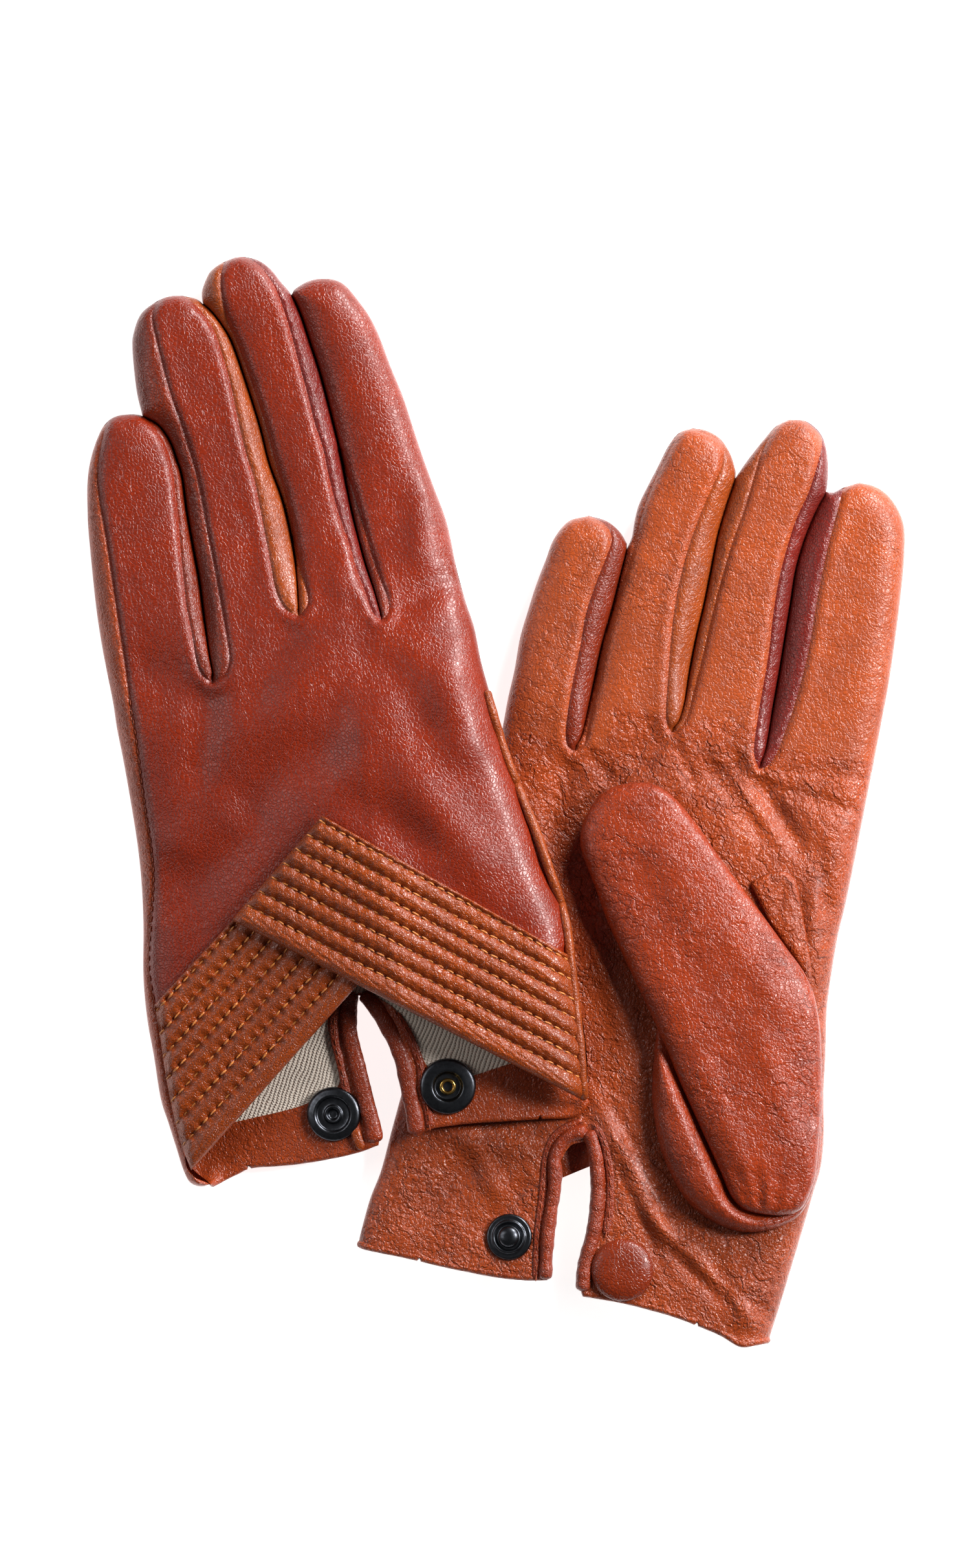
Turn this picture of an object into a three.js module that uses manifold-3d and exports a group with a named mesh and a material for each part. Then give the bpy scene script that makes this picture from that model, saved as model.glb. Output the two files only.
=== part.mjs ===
// A pair of leather driving gloves lying on a flat surface, in millimetres, +Z up.
// The left glove lies palm down, its radial side resting on the ulnar margin of the right glove,
// which lies palm up. Each glove is built in its own frame: x runs across the hand from the little
// finger's side to the thumb's side, y runs from the cuff to the fingertips, and z is up.
// Every leather piece is a thin sheet between an outer face and an inner face one leather
// thickness inside it, so the hand, the fingers and the thumbs are hollow.
import * as THREE from "three";
import { mergeVertices } from "three/addons/utils/BufferGeometryUtils.js";
import Module from "manifold-3d";

const wasm = await Module();
wasm.setup();

// Driving dimensions
const leather = 0.9; // thickness of the nappa
const joinGap = 0.35; // clearance kept between neighbouring pieces
const fingerRise = 5.4; // from a finger's middle height to its crown
const fingerBulge = 2.4; // superellipse power of a finger's section
const handBulge = 4; // superellipse power of the hand's section
const restLevel = 0.05; // the fingers lie flat at this height
const seamAngle = 46; // where the fourchette seams run round a finger, in degrees
const palmLevel = 12.6; // height of the right glove's palm above the table
const ventWidth = 6.5;
const liningThickness = 0.5;
const capRadius = 7.35;
const socketRadius = 6.4;
const studRadius = 5.4;
const eyeletRadius = 1.5;
const ribCount = 7; // channels quilted into each cuff band
const ribHeight = 0.7;
const bandThickness = 1.3;

const gloves = [
  {
    name: "right", palmUp: true, place: [16, -117], turn: -14.6,
    fingers: [
      { name: "little", root: [-38.6, 126.4], tip: [-41.1, 179.7], half: [9.6, 8.9], rootHeight: 5.1, tipHeight: 5.1 },
      { name: "ring", root: [-17.9, 138], tip: [-22.2, 206.4], half: [10.1, 9.3], rootHeight: 5.1, tipHeight: 5.1 },
      { name: "middle", root: [3.3, 141], tip: [0.4, 214.5], half: [10.3, 9.4], rootHeight: 5.1, tipHeight: 5.1 },
      { name: "index", root: [27.2, 139], tip: [21.2, 204.4], half: [12.0, 10.2], rootHeight: 5.1, tipHeight: 5.1 },
    ],
    stud: [-15.7, 9.6], cap: [12.3, 9.4], capReach: 34.5, ventTop: [-4, 40], thumbHalfHeight: 3.7,
  },
  {
    name: "left", palmUp: false, place: [-27, -85], turn: 8.74,
    fingers: [
      { name: "little", root: [-35.2, 122], tip: [-34, 184.1], half: [11.9, 9.8], rootHeight: 6.2, tipHeight: 5.1 },
      { name: "ring", root: [-11.2, 135.7], tip: [-16.8, 210], half: [9.7, 8.9], rootHeight: 9.2, tipHeight: 5.1 },
      { name: "middle", root: [9.1, 133.5], tip: [1.4, 216.5], half: [9.6, 9.2], rootHeight: 11, tipHeight: 5.1 },
      { name: "index", root: [29, 129.5], tip: [20.4, 208.6], half: [9.5, 9.0], rootHeight: 11.6, tipHeight: 5.1 },
    ],
    stud: [-10.3, 12.2], cap: [17.9, 14], capReach: 44, ventTop: [0, 39.5], thumbHalfHeight: 1.7,
  },
];

// The hand's two edges, from cuff to knuckles, as [across, along] points
const ulnarEdge = curveOf([[-49.6, 0], [-49.4, 30], [-47.6, 62], [-47, 100], [-47.4, 126], [-48, 150]]);
const radialEdge = curveOf([[49.6, 0], [50.6, 38], [48, 66], [43, 96], [40.6, 122], [39.6, 150]]);
// Lower edge of the back panel, which is the upper edge of the two cuff bands
const backHem = [[-60, 33], [-48, 42.8], [-27, 60.6], [-2.5, 82.3], [49.4, 42], [60, 34]];
const upperBand = { start: [[-26.6, 60.3], [-2.6, 81.6]], end: [[47.2, 6.4], [48.6, 42]] };
const lowerBand = { start: [[-44.3, 4.5], [-45.3, 41]], end: [[-6, 37], [-27.4, 59.8]] };
const thumbHole = { centre: [33, 45], radii: [11, 15] };
const thumbTube = { root: [30.5, 63.3], tip: [-16, 121], half: [15.8, 12] };
const thumbDome = { root: [39, 24], tip: [26, 71], half: [10, 17.4] };
const thumbSeam = { point: [27, 67.2], slope: 26 };

function curveOf(points) {
  return new THREE.SplineCurve(points.map(([x, y]) => new THREE.Vector2(x, y)));
}

// The across place of an edge at a distance along the hand
function edgeAt(curve, along) {
  let low = 0;
  let high = 1;
  for (let i = 0; i < 24; i++) {
    const middle = (low + high) / 2;
    if (curve.getPoint(middle).y < along) low = middle;
    else high = middle;
  }
  return curve.getPoint(low).x;
}

function smooth(value, from, to) {
  return THREE.MathUtils.smoothstep(value, from, to);
}

function mix(from, to, share) {
  return from + (to - from) * share;
}

// How fully the right glove stands up: its ulnar side is pressed down by the glove on top of it
function fullness(across) {
  return smooth(across, -30, 15);
}

// Height of the hand's middle surface. The left hand climbs over its tucked thumb and the right glove.
function middleHeight(glove, across, along) {
  if (glove.palmUp) return mix(4.7, 6, fullness(across));
  const climb = THREE.MathUtils.clamp((across + 48) / 58, 0, 1);
  return 5.4 + 13 * climb * (1 - smooth(along, 100, 160)) * mix(0.85, 1, smooth(along, 5, 45));
}

// Distance from the middle surface to the palm's or the back's outer face at mid hand.
// The right glove lies on its two cuff bands, so its back stands a little higher there.
function faceRise(glove, palm, across, along) {
  if (!glove.palmUp) return palm ? 5.2 : 5.4;
  const middle = middleHeight(glove, across, along);
  return palm ? mix(8, palmLevel, fullness(across)) - middle : middle - mix(3.3, 1, smooth(along, 84, 97));
}

// A point on the hand: angle 0 is the radial rim, 90 the middle of the face, 180 the ulnar rim
function handPoint(glove, palm, along, angle, inset) {
  const ulnar = edgeAt(ulnarEdge, along) + inset;
  const radial = edgeAt(radialEdge, along) - inset;
  const turn = THREE.MathUtils.degToRad(angle);
  const share = Math.sign(Math.cos(turn)) * Math.abs(Math.cos(turn)) ** (2 / handBulge);
  const lift = Math.sign(Math.sin(turn)) * Math.abs(Math.sin(turn)) ** (2 / handBulge);
  const across = mix(ulnar, radial, (share + 1) / 2);
  const face = lift < 0 ? !palm : palm;
  const rise = Math.max(faceRise(glove, face, across, along) - inset, 0.4);
  const outward = palm === glove.palmUp ? 1 : -1;
  return new THREE.Vector3(across, along, middleHeight(glove, across, along) + outward * rise * lift);
}

// The angle at which the hand's section reaches a place across it
function angleAt(along, across) {
  const ulnar = edgeAt(ulnarEdge, along);
  const radial = edgeAt(radialEdge, along);
  const share = THREE.MathUtils.clamp((2 * (across - ulnar)) / (radial - ulnar) - 1, -1, 1);
  return THREE.MathUtils.radToDeg(Math.acos(Math.sign(share) * Math.abs(share) ** (handBulge / 2)));
}

function faceHeight(glove, palm, across, along, inset) {
  return handPoint(glove, palm, along, angleAt(along, across), inset).z;
}

// A closed sheet from a grid of outer points and the matching grid of inner points.
// at(row, column, inner) gives each point; a sheet that goes all the way round joins its last column to its first.
function sheet(rows, columns, at, round = false) {
  const across = round ? columns : columns + 1;
  const points = [];
  const faces = [];
  for (const inner of [false, true]) {
    for (let i = 0; i <= rows; i++) {
      for (let j = 0; j < across; j++) points.push(...at(i / rows, j / columns, inner).toArray());
    }
  }
  const layer = (rows + 1) * across;
  const id = (i, j, inner) => (inner ? layer : 0) + i * across + (j % across);
  const quad = (a, b, c, d) => faces.push(a, b, c, a, c, d);
  for (let i = 0; i < rows; i++) {
    for (let j = 0; j < columns; j++) {
      quad(id(i, j), id(i, j + 1), id(i + 1, j + 1), id(i + 1, j));
      quad(id(i, j, true), id(i + 1, j, true), id(i + 1, j + 1, true), id(i, j + 1, true));
    }
    if (!round) {
      quad(id(i, 0), id(i + 1, 0), id(i + 1, 0, true), id(i, 0, true));
      quad(id(i, columns), id(i, columns, true), id(i + 1, columns, true), id(i + 1, columns));
    }
  }
  for (let j = 0; j < columns; j++) {
    quad(id(0, j), id(0, j, true), id(0, j + 1, true), id(0, j + 1));
    quad(id(rows, j), id(rows, j + 1), id(rows, j + 1, true), id(rows, j, true));
  }
  return facingOut(new Float32Array(points), faces);
}

// The triangles left once those that shrink to a line on a lathe's axis are dropped
function withArea(indices) {
  const kept = [];
  for (let k = 0; k < indices.length; k += 3) {
    const [a, b, c] = indices.slice(k, k + 3);
    if (a !== b && b !== c && c !== a) kept.push(a, b, c);
  }
  return kept;
}

function geometryOf(positions, indices) {
  const geometry = new THREE.BufferGeometry();
  geometry.setAttribute("position", new THREE.BufferAttribute(positions, 3));
  geometry.setIndex([...indices]);
  return geometry;
}

// Turns the faces round if the solid they enclose has a negative volume
function facingOut(positions, faces) {
  const corner = (k) => new THREE.Vector3().fromArray(positions, faces[k] * 3);
  let volume = 0;
  for (let k = 0; k < faces.length; k += 3) volume += corner(k).dot(corner(k + 1).cross(corner(k + 2)));
  if (volume < 0) {
    for (let k = 0; k < faces.length; k += 3) [faces[k + 1], faces[k + 2]] = [faces[k + 2], faces[k + 1]];
  }
  return geometryOf(positions, faces);
}

function solidOf(geometry) {
  const bare = geometry.clone().deleteAttribute("normal").deleteAttribute("uv");
  const merged = mergeVertices(bare, 1e-3);
  return new wasm.Manifold(
    new wasm.Mesh({
      numProp: 3,
      vertProperties: merged.attributes.position.array,
      triVerts: new Uint32Array(merged.index.array),
    }),
  );
}

function meshOf(solid) {
  const largest = solid.decompose().sort((a, b) => b.volume() - a.volume())[0];
  const made = largest.getMesh();
  return geometryOf(new Float32Array(made.vertProperties), made.triVerts);
}

// A tall prism over an outline, for cutting sheets
function prism(outline) {
  const shape = new THREE.Shape(outline.map(([x, y]) => new THREE.Vector2(x, y)));
  return solidOf(new THREE.ExtrudeGeometry(shape, { depth: 80, bevelEnabled: false }).translate(0, 0, -20));
}

function roundPrism([x, y], [radiusX, radiusY]) {
  const turns = 24;
  return prism(
    Array.from({ length: turns }, (_, i) => {
      const angle = (i / turns) * 2 * Math.PI;
      return [x + radiusX * Math.cos(angle), y + radiusY * Math.sin(angle)];
    }),
  );
}

// Fingers

function fingerFrame(finger) {
  const root = new THREE.Vector2(...finger.root);
  const reach = new THREE.Vector2(...finger.tip).sub(root);
  const length = reach.length();
  const along = reach.clone().normalize();
  return { root, length, along, across: new THREE.Vector2(along.y, -along.x) };
}

// A point on a finger: angle 0 is its radial side, 90 its upper face, 180 its ulnar side
function fingerPoint(finger, distance, angle, inset) {
  const { root, length, along, across } = fingerFrame(finger);
  const share = distance / length;
  const roundFrom = length - 1.15 * finger.half[1];
  const past = Math.max(0, (distance - roundFrom) / (length - roundFrom));
  const narrowing = Math.sqrt(Math.max(0.02, 1 - past ** 2));
  const half = mix(finger.half[0], finger.half[1], share) * narrowing;
  const rise = fingerRise * narrowing ** 0.8;
  const turn = THREE.MathUtils.degToRad(angle);
  const power = 2 / fingerBulge;
  const sideways = Math.sign(Math.cos(turn)) * Math.abs(Math.cos(turn)) ** power * Math.max(half - inset, 0.3 * half);
  const upward = Math.sign(Math.sin(turn)) * Math.abs(Math.sin(turn)) ** power * Math.max(rise - inset, 0.3 * rise);
  const spine = root.clone().addScaledVector(along, distance).addScaledVector(across, sideways);
  const height = mix(finger.rootHeight, finger.tipHeight, share) + upward;
  return new THREE.Vector3(spine.x, spine.y, Math.max(height, restLevel + inset));
}

// A strip of a finger's skin between two angles, running from the knuckle to the tip
function fingerStrip(finger, fromAngle, toAngle, columns) {
  const { length } = fingerFrame(finger);
  const stations = [0, 0.35, 0.68, 0.83, 0.91, 0.96, 0.99];
  return sheet(stations.length - 1, columns, (row, column, inner) => {
    const distance = mix(joinGap, length, stations[Math.round(row * (stations.length - 1))]);
    return fingerPoint(finger, distance, mix(fromAngle, toAngle, column), inner ? leather : 0);
  });
}

function fingerPieces(glove, finger, index) {
  const slack = 3.2; // degrees of clearance beside each seam
  const upper = fingerStrip(finger, seamAngle, 180 - seamAngle, 4);
  const lower = fingerStrip(finger, -seamAngle, seamAngle - 180, 4);
  const pieces = {
    [`${finger.name}_back`]: glove.palmUp ? lower : upper,
    [`${finger.name}_front`]: glove.palmUp ? upper : lower,
  };
  // The outermost sides are walled by the front strip's own fold, so only inner sides have fourchettes
  const radialWall = fingerStrip(finger, slack - seamAngle, seamAngle - slack, 4);
  const ulnarWall = fingerStrip(finger, 180 + seamAngle - slack, 180 - seamAngle + slack, 4);
  if (index > 0) pieces[`${finger.name}_fourchette_ulnar`] = ulnarWall;
  if (index < 3) pieces[`${finger.name}_fourchette_radial`] = radialWall;
  if (index === 0) pieces[`${finger.name}_front`] = wrapped(finger, glove.palmUp, 1);
  if (index === 3) pieces[`${finger.name}_front`] = wrapped(finger, glove.palmUp, -1);
  return pieces;
}

// The front strip of an outer finger, which folds round its open side up to the back strip's seam
function wrapped(finger, palmUp, side) {
  const slack = 3.2;
  const upward = palmUp ? 1 : -1;
  const inner = side > 0 ? seamAngle : 180 - seamAngle;
  const outer = side > 0 ? 180 + seamAngle - slack : slack - seamAngle;
  return fingerStrip(finger, upward * inner, upward * outer, 7);
}

// Hand panels

// How far along the hand its panels reach at a place across it: up to the hinge line of the finger there
function knuckleAt(glove, across) {
  const limits = glove.fingers.map((finger) => {
    const { root, along } = fingerFrame(finger);
    return root.y - ((across - root.x) * along.x) / along.y - joinGap;
  });
  return limits[glove.fingers.findIndex((_, i) => across <= (crotches(glove)[i] ?? Infinity))];
}

function crotches(glove) {
  return glove.fingers.slice(1).map((finger, i) => (finger.root[0] + glove.fingers[i].root[0]) / 2);
}

// Angles of the hand's columns of points, with a pair either side of each crotch. The palm's leather
// wraps over both edges: a little on the thumb's side, more on the little finger's.
function handAngles(glove, palm) {
  const aside = 0.6;
  const splits = crotches(glove).flatMap((across) => [across + aside, across - aside]).sort((a, b) => b - a);
  const shared = [16, 32, 46, 61, ...splits.map((across) => angleAt(120, across)), 128, 140];
  return palm ? [-3, 5, ...shared, 149, 164, 175, 181, 192, 206] : [7, ...shared, 151];
}

function handSheet(glove, palm, from) {
  const angles = handAngles(glove, palm);
  return sheet(10, angles.length - 1, (row, column, inner) => {
    const angle = angles[Math.round(column * (angles.length - 1))];
    const across = handPoint(glove, palm, 120, angle, 0).x;
    const along = mix(from, knuckleAt(glove, across), row);
    return handPoint(glove, palm, along, angle, inner ? leather : 0);
  });
}

// The triangle of one flap, which folds along the line from the top of the vent to the hem
function flapCut(glove, side, shrink) {
  const reach = (side > 0 ? glove.capReach : 34.5) - shrink;
  const [topX, topY] = glove.ventTop;
  const outline = [[topX, topY - shrink * 2], [side * reach, -0.5 - shrink * 0.3], [side * reach, -5], [0, -5]];
  return prism(side > 0 ? outline.reverse() : outline);
}

function palmPieces(glove) {
  const whole = solidOf(handSheet(glove, true, 0));
  const half = ventWidth / 2;
  const [topX, topY] = glove.ventTop;
  const shoulder = topX * 0.85;
  const vent = prism([[-half, -5], [half, -5], [shoulder + half, topY - 6.5], [topX + 1.5, topY - 2],
    [topX - 1.5, topY - 2], [shoulder - half, topY - 6.5]]);
  const panel = whole.subtract(roundPrism(thumbHole.centre, thumbHole.radii));
  const flap = (side, spot) => {
    const cut = whole.intersect(flapCut(glove, side, joinGap)).subtract(vent);
    return meshOf(cut.subtract(roundPrism(spot, [eyeletRadius + 0.5, eyeletRadius + 0.5])));
  };
  return {
    palm_panel: meshOf(panel.subtract(flapCut(glove, 1, 0)).subtract(flapCut(glove, -1, 0))),
    cap_flap: flap(1, glove.cap),
    stud_flap: flap(-1, glove.stud),
  };
}

function backPanel(glove) {
  const whole = solidOf(handSheet(glove, false, 30));
  const below = prism([...backHem, [60, -20], [-60, -20]].reverse());
  return meshOf(whole.subtract(below));
}

// A quilted band: a strip with ribs along it, lying in the face of the back
function quiltedBand(glove, { start, end }, lift) {
  const outward = glove.palmUp ? -1 : 1;
  return sheet(7, 2 * ribCount, (row, column, inner) => {
    const near = start[0].map((value, k) => mix(value, end[0][k], row));
    const far = start[1].map((value, k) => mix(value, end[1][k], row));
    const [across, along] = near.map((value, k) => mix(value, far[k], column));
    const rib = ribHeight * Math.abs(Math.sin(Math.PI * ribCount * column));
    const height = lift(row) + (inner ? -bandThickness : rib);
    return new THREE.Vector3(across, along, faceHeight(glove, false, across, along, 0) + outward * height);
  });
}

// The knit lining covers the palm from the turned hem upwards, and the back only above the cuff's notch
function lining(glove) {
  const palmAngles = handAngles(glove, true).filter((angle) => angle > 4 && angle < 180);
  const backAngles = handAngles(glove, false).filter((angle) => angle < 150);
  const round = [...palmAngles, ...backAngles.reverse().map((angle) => -angle)];
  const gap = leather + 2 * joinGap + 0.2;
  const whole = sheet(8, round.length, (row, column, inner) => {
    const angle = round[Math.round(column * round.length) % round.length];
    const palm = angle > 0;
    const along = mix(angle > 10 && angle < 170 ? 11 : 98, 117, row);
    return handPoint(glove, palm, along, Math.abs(angle), gap + (inner ? liningThickness : 0));
  }, true);
  return meshOf(solidOf(whole).subtract(flapCut(glove, 1, 0)).subtract(flapCut(glove, -1, 0)));
}

// Thumb

// Height, above the palm's outer face, of a level that follows the face under the left thumb
function overPalm(glove, across, along, lift) {
  const outward = glove.palmUp ? 1 : -1;
  const seat = glove.palmUp ? palmLevel : faceHeight(glove, true, across, along, 0);
  return seat + outward * lift;
}

// Half of a thumb piece: its edges lie at seat above the palm and its crown stands a rise further out.
// The tube is closed at its tip and the base at its root.
function thumbShell(glove, tube, { from, to, closedAt, seat, rise }) {
  const { root, length, along, across } = fingerFrame(tube);
  const stations = [0, 0.1, 0.22, 0.42, 0.65, 0.82, 0.92, 0.98, 1];
  const rounding = 0.24;
  return sheet(stations.length - 1, 8, (row, column, inner) => {
    const station = stations[Math.round(row * (stations.length - 1))];
    const fromEnd = closedAt === "tip" ? 1 - station : station;
    const narrowing = fromEnd < rounding ? Math.sqrt(Math.max(0.03, 1 - (1 - fromEnd / rounding) ** 2)) : 1;
    const inset = inner ? leather : 0;
    const turn = THREE.MathUtils.degToRad(mix(from, to, column));
    const half = Math.max(mix(tube.half[0], tube.half[1], station) * narrowing - inset, 1.2 - inset);
    const height = Math.max(rise * narrowing ** 0.6 - inset, 0.3);
    const power = 2 / fingerBulge;
    const sideways = Math.sign(Math.cos(turn)) * Math.abs(Math.cos(turn)) ** power * half;
    const upward = Math.sign(Math.sin(turn)) * Math.abs(Math.sin(turn)) ** power * height;
    const spot = root.clone().addScaledVector(along, station * length).addScaledVector(across, sideways);
    return new THREE.Vector3(spot.x, spot.y, overPalm(glove, spot.x, spot.y, seat + upward));
  });
}

// Everything to one side of the seam between the thumb's base and its tube
function besideSeam(side) {
  const turn = THREE.MathUtils.degToRad(thumbSeam.slope);
  const far = 90;
  const at = (along, out) => [
    thumbSeam.point[0] + along * Math.cos(turn) - out * Math.sin(turn),
    thumbSeam.point[1] + along * Math.sin(turn) + out * Math.cos(turn),
  ];
  const near = side * joinGap;
  const outline = [at(-far, near), at(far, near), at(far, side * far), at(-far, side * far)];
  return prism(side > 0 ? outline : outline.reverse());
}

function thumbPieces(glove) {
  const half = glove.thumbHalfHeight;
  const middle = half + 3 * joinGap;
  const trimmed = (tube, side, how) => meshOf(solidOf(thumbShell(glove, tube, how)).intersect(besideSeam(side)));
  return {
    thumb_base: trimmed(thumbDome, -1, { from: 0, to: 180, closedAt: "root", seat: 3 * joinGap, rise: middle + half - 3 * joinGap }),
    thumb_upper: trimmed(thumbTube, 1, { from: 6, to: 174, closedAt: "tip", seat: middle, rise: half }),
    thumb_lower: trimmed(thumbTube, 1, { from: -6, to: -174, closedAt: "tip", seat: middle, rise: half }),
  };
}

// A small diamond gusset let into the palm beside the thumb
function quirk(glove) {
  const corners = [[20, 106], [27, 110.5], [40.5, 86.5], [35.5, 86]];
  const outward = glove.palmUp ? 1 : -1;
  return sheet(3, 3, (row, column, inner) => {
    const [across, along] = [0, 1].map((k) =>
      mix(mix(corners[0][k], corners[1][k], row), mix(corners[3][k], corners[2][k], row), column));
    const puff = 0.8 * Math.sin(Math.PI * row) * Math.sin(Math.PI * column);
    const height = 2 * joinGap + (inner ? 0 : leather + puff);
    return new THREE.Vector3(across, along, faceHeight(glove, true, across, along, 0) + outward * height);
  });
}

// Press fastener, each part turned about its own axis

function turned(profile, glove, [across, along], height) {
  const outward = glove.palmUp ? 1 : -1;
  const rise = (dx, dy) => faceHeight(glove, true, across + dx, along + dy, 0) - faceHeight(glove, true, across, along, 0);
  const normal = new THREE.Vector3(-rise(3, 0) / 3, -rise(0, 3) / 3, 1).normalize();
  const tilt = new THREE.Quaternion().setFromUnitVectors(new THREE.Vector3(0, 0, 1), normal);
  const outline = profile.map(([radius, z]) => new THREE.Vector2(radius, z * outward));
  const made = new THREE.LatheGeometry(outline, 20).rotateX(Math.PI / 2).applyQuaternion(tilt);
  const bare = mergeVertices(made.translate(across, along, height).deleteAttribute("normal").deleteAttribute("uv"), 1e-3);
  return facingOut(bare.attributes.position.array, withArea(bare.index.array));
}

function snapPieces(glove) {
  const outward = glove.palmUp ? 1 : -1;
  const seatAt = ([across, along], side) =>
    faceHeight(glove, true, across, along, side > 0 ? 0 : leather) + outward * (side > 0 ? joinGap + 0.45 : -joinGap - 0.85);
  const capSeat = seatAt(glove.cap, 1);
  const capInner = seatAt(glove.cap, -1);
  const studSeat = seatAt(glove.stud, 1);
  const studInner = seatAt(glove.stud, -1);
  const eyeletLength = Math.abs(capSeat - capInner) + 0.8;
  const dome = [[0, 0], [capRadius - 0.8, 0], [capRadius, 0.6], [capRadius - 0.9, 1.3], [4, 1.75], [0, 1.9]];
  const socket = [[2.6, 0], [socketRadius, 0], [socketRadius, -0.5], [5.2, -1], [3.6, -1.1], [2.6, -0.8], [2.6, 0]];
  const eyelet = [[0.7, -eyeletLength], [1.9, -eyeletLength], [1.9, -eyeletLength + 0.3], [eyeletRadius, -eyeletLength + 0.5],
    [eyeletRadius, -joinGap], [0.7, -joinGap], [0.7, -eyeletLength]];
  const stud = [[0, 0], [studRadius, 0], [studRadius, 0.5], [4.3, 0.9], [2.4, 0.5], [1.9, 1.2], [2.2, 1.9], [1.2, 2.3], [0, 2.3]];
  const washer = [[0, 0.75], [eyeletRadius, 0.75], [eyeletRadius, 0], [socketRadius, 0], [socketRadius, -0.4], [4.9, -0.9],
    [3.2, -0.6], [1.9, -0.9], [1.1, -0.9], [1.1, -0.4], [0, -0.4]];
  return {
    cap_button: turned(dome, glove, glove.cap, capSeat),
    cap_socket: turned(socket, glove, glove.cap, capInner),
    cap_eyelet: turned(eyelet, glove, glove.cap, capSeat),
    stud_post: turned(stud, glove, glove.stud, studSeat),
    stud_washer: turned(washer, glove, glove.stud, studInner),
  };
}

// Finishes
const nappa = { color: 0x9c3d18, roughness: 0.45, metalness: 0 };
const finishes = {
  back: nappa,
  front: { ...nappa, color: 0xb04e22 },
  fourchette: { ...nappa, color: 0x8f3a1c },
  band: { ...nappa, color: 0xa04a1a },
  lining: { color: 0xb9aa9a, roughness: 0.9, metalness: 0 },
  gunmetal: { color: 0x3a3d42, roughness: 0.3, metalness: 1 },
  brass: { color: 0xc89a3c, roughness: 0.3, metalness: 1 },
};

function finishOf(name) {
  if (name.includes("lining")) return finishes.lining;
  if (name.includes("eyelet")) return finishes.brass;
  if (/socket|post|washer/.test(name)) return finishes.gunmetal;
  if (name.includes("band")) return finishes.band;
  if (name.includes("fourchette")) return finishes.fourchette;
  return /front|palm|thumb|flap|quirk/.test(name) ? finishes.front : finishes.back;
}

function gloveGroup(glove) {
  const pieces = {
    back_panel: backPanel(glove),
    ...palmPieces(glove),
    band_upper: quiltedBand(glove, upperBand, (row) => 2.4 * (1 - smooth(row, 0.3, 0.55))),
    band_lower: quiltedBand(glove, lowerBand, () => 0),
    lining: lining(glove),
    quirk: quirk(glove),
    ...thumbPieces(glove),
    ...snapPieces(glove),
  };
  glove.fingers.forEach((finger, index) => Object.assign(pieces, fingerPieces(glove, finger, index)));
  const group = new THREE.Group();
  group.position.set(glove.place[0], glove.place[1], 0);
  group.rotation.z = THREE.MathUtils.degToRad(glove.turn);
  for (const [name, geometry] of Object.entries(pieces)) {
    const mesh = new THREE.Mesh(geometry, new THREE.MeshStandardMaterial(finishOf(name)));
    mesh.name = `${glove.name}_${name}`;
    group.add(mesh);
  }
  return group;
}

const pair = new THREE.Group();
pair.add(...gloves.map(gloveGroup));

export default pair;
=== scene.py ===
import math

import bpy
import numpy as np
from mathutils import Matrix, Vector, geometry


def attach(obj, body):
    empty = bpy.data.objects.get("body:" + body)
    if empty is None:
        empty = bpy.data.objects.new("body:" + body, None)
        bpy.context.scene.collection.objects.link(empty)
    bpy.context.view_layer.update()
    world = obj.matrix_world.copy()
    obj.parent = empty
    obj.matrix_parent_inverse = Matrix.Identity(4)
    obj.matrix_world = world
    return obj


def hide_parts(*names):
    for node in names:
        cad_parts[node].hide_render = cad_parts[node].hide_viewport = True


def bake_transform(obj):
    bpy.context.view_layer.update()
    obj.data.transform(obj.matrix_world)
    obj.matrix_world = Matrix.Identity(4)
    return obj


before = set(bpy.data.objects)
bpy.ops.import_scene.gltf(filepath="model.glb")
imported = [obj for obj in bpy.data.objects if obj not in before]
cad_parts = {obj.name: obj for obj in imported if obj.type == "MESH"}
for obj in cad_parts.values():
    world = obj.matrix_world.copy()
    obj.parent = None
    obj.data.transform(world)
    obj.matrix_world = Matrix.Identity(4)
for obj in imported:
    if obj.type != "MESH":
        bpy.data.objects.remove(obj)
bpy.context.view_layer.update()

mm = 0.001

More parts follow.
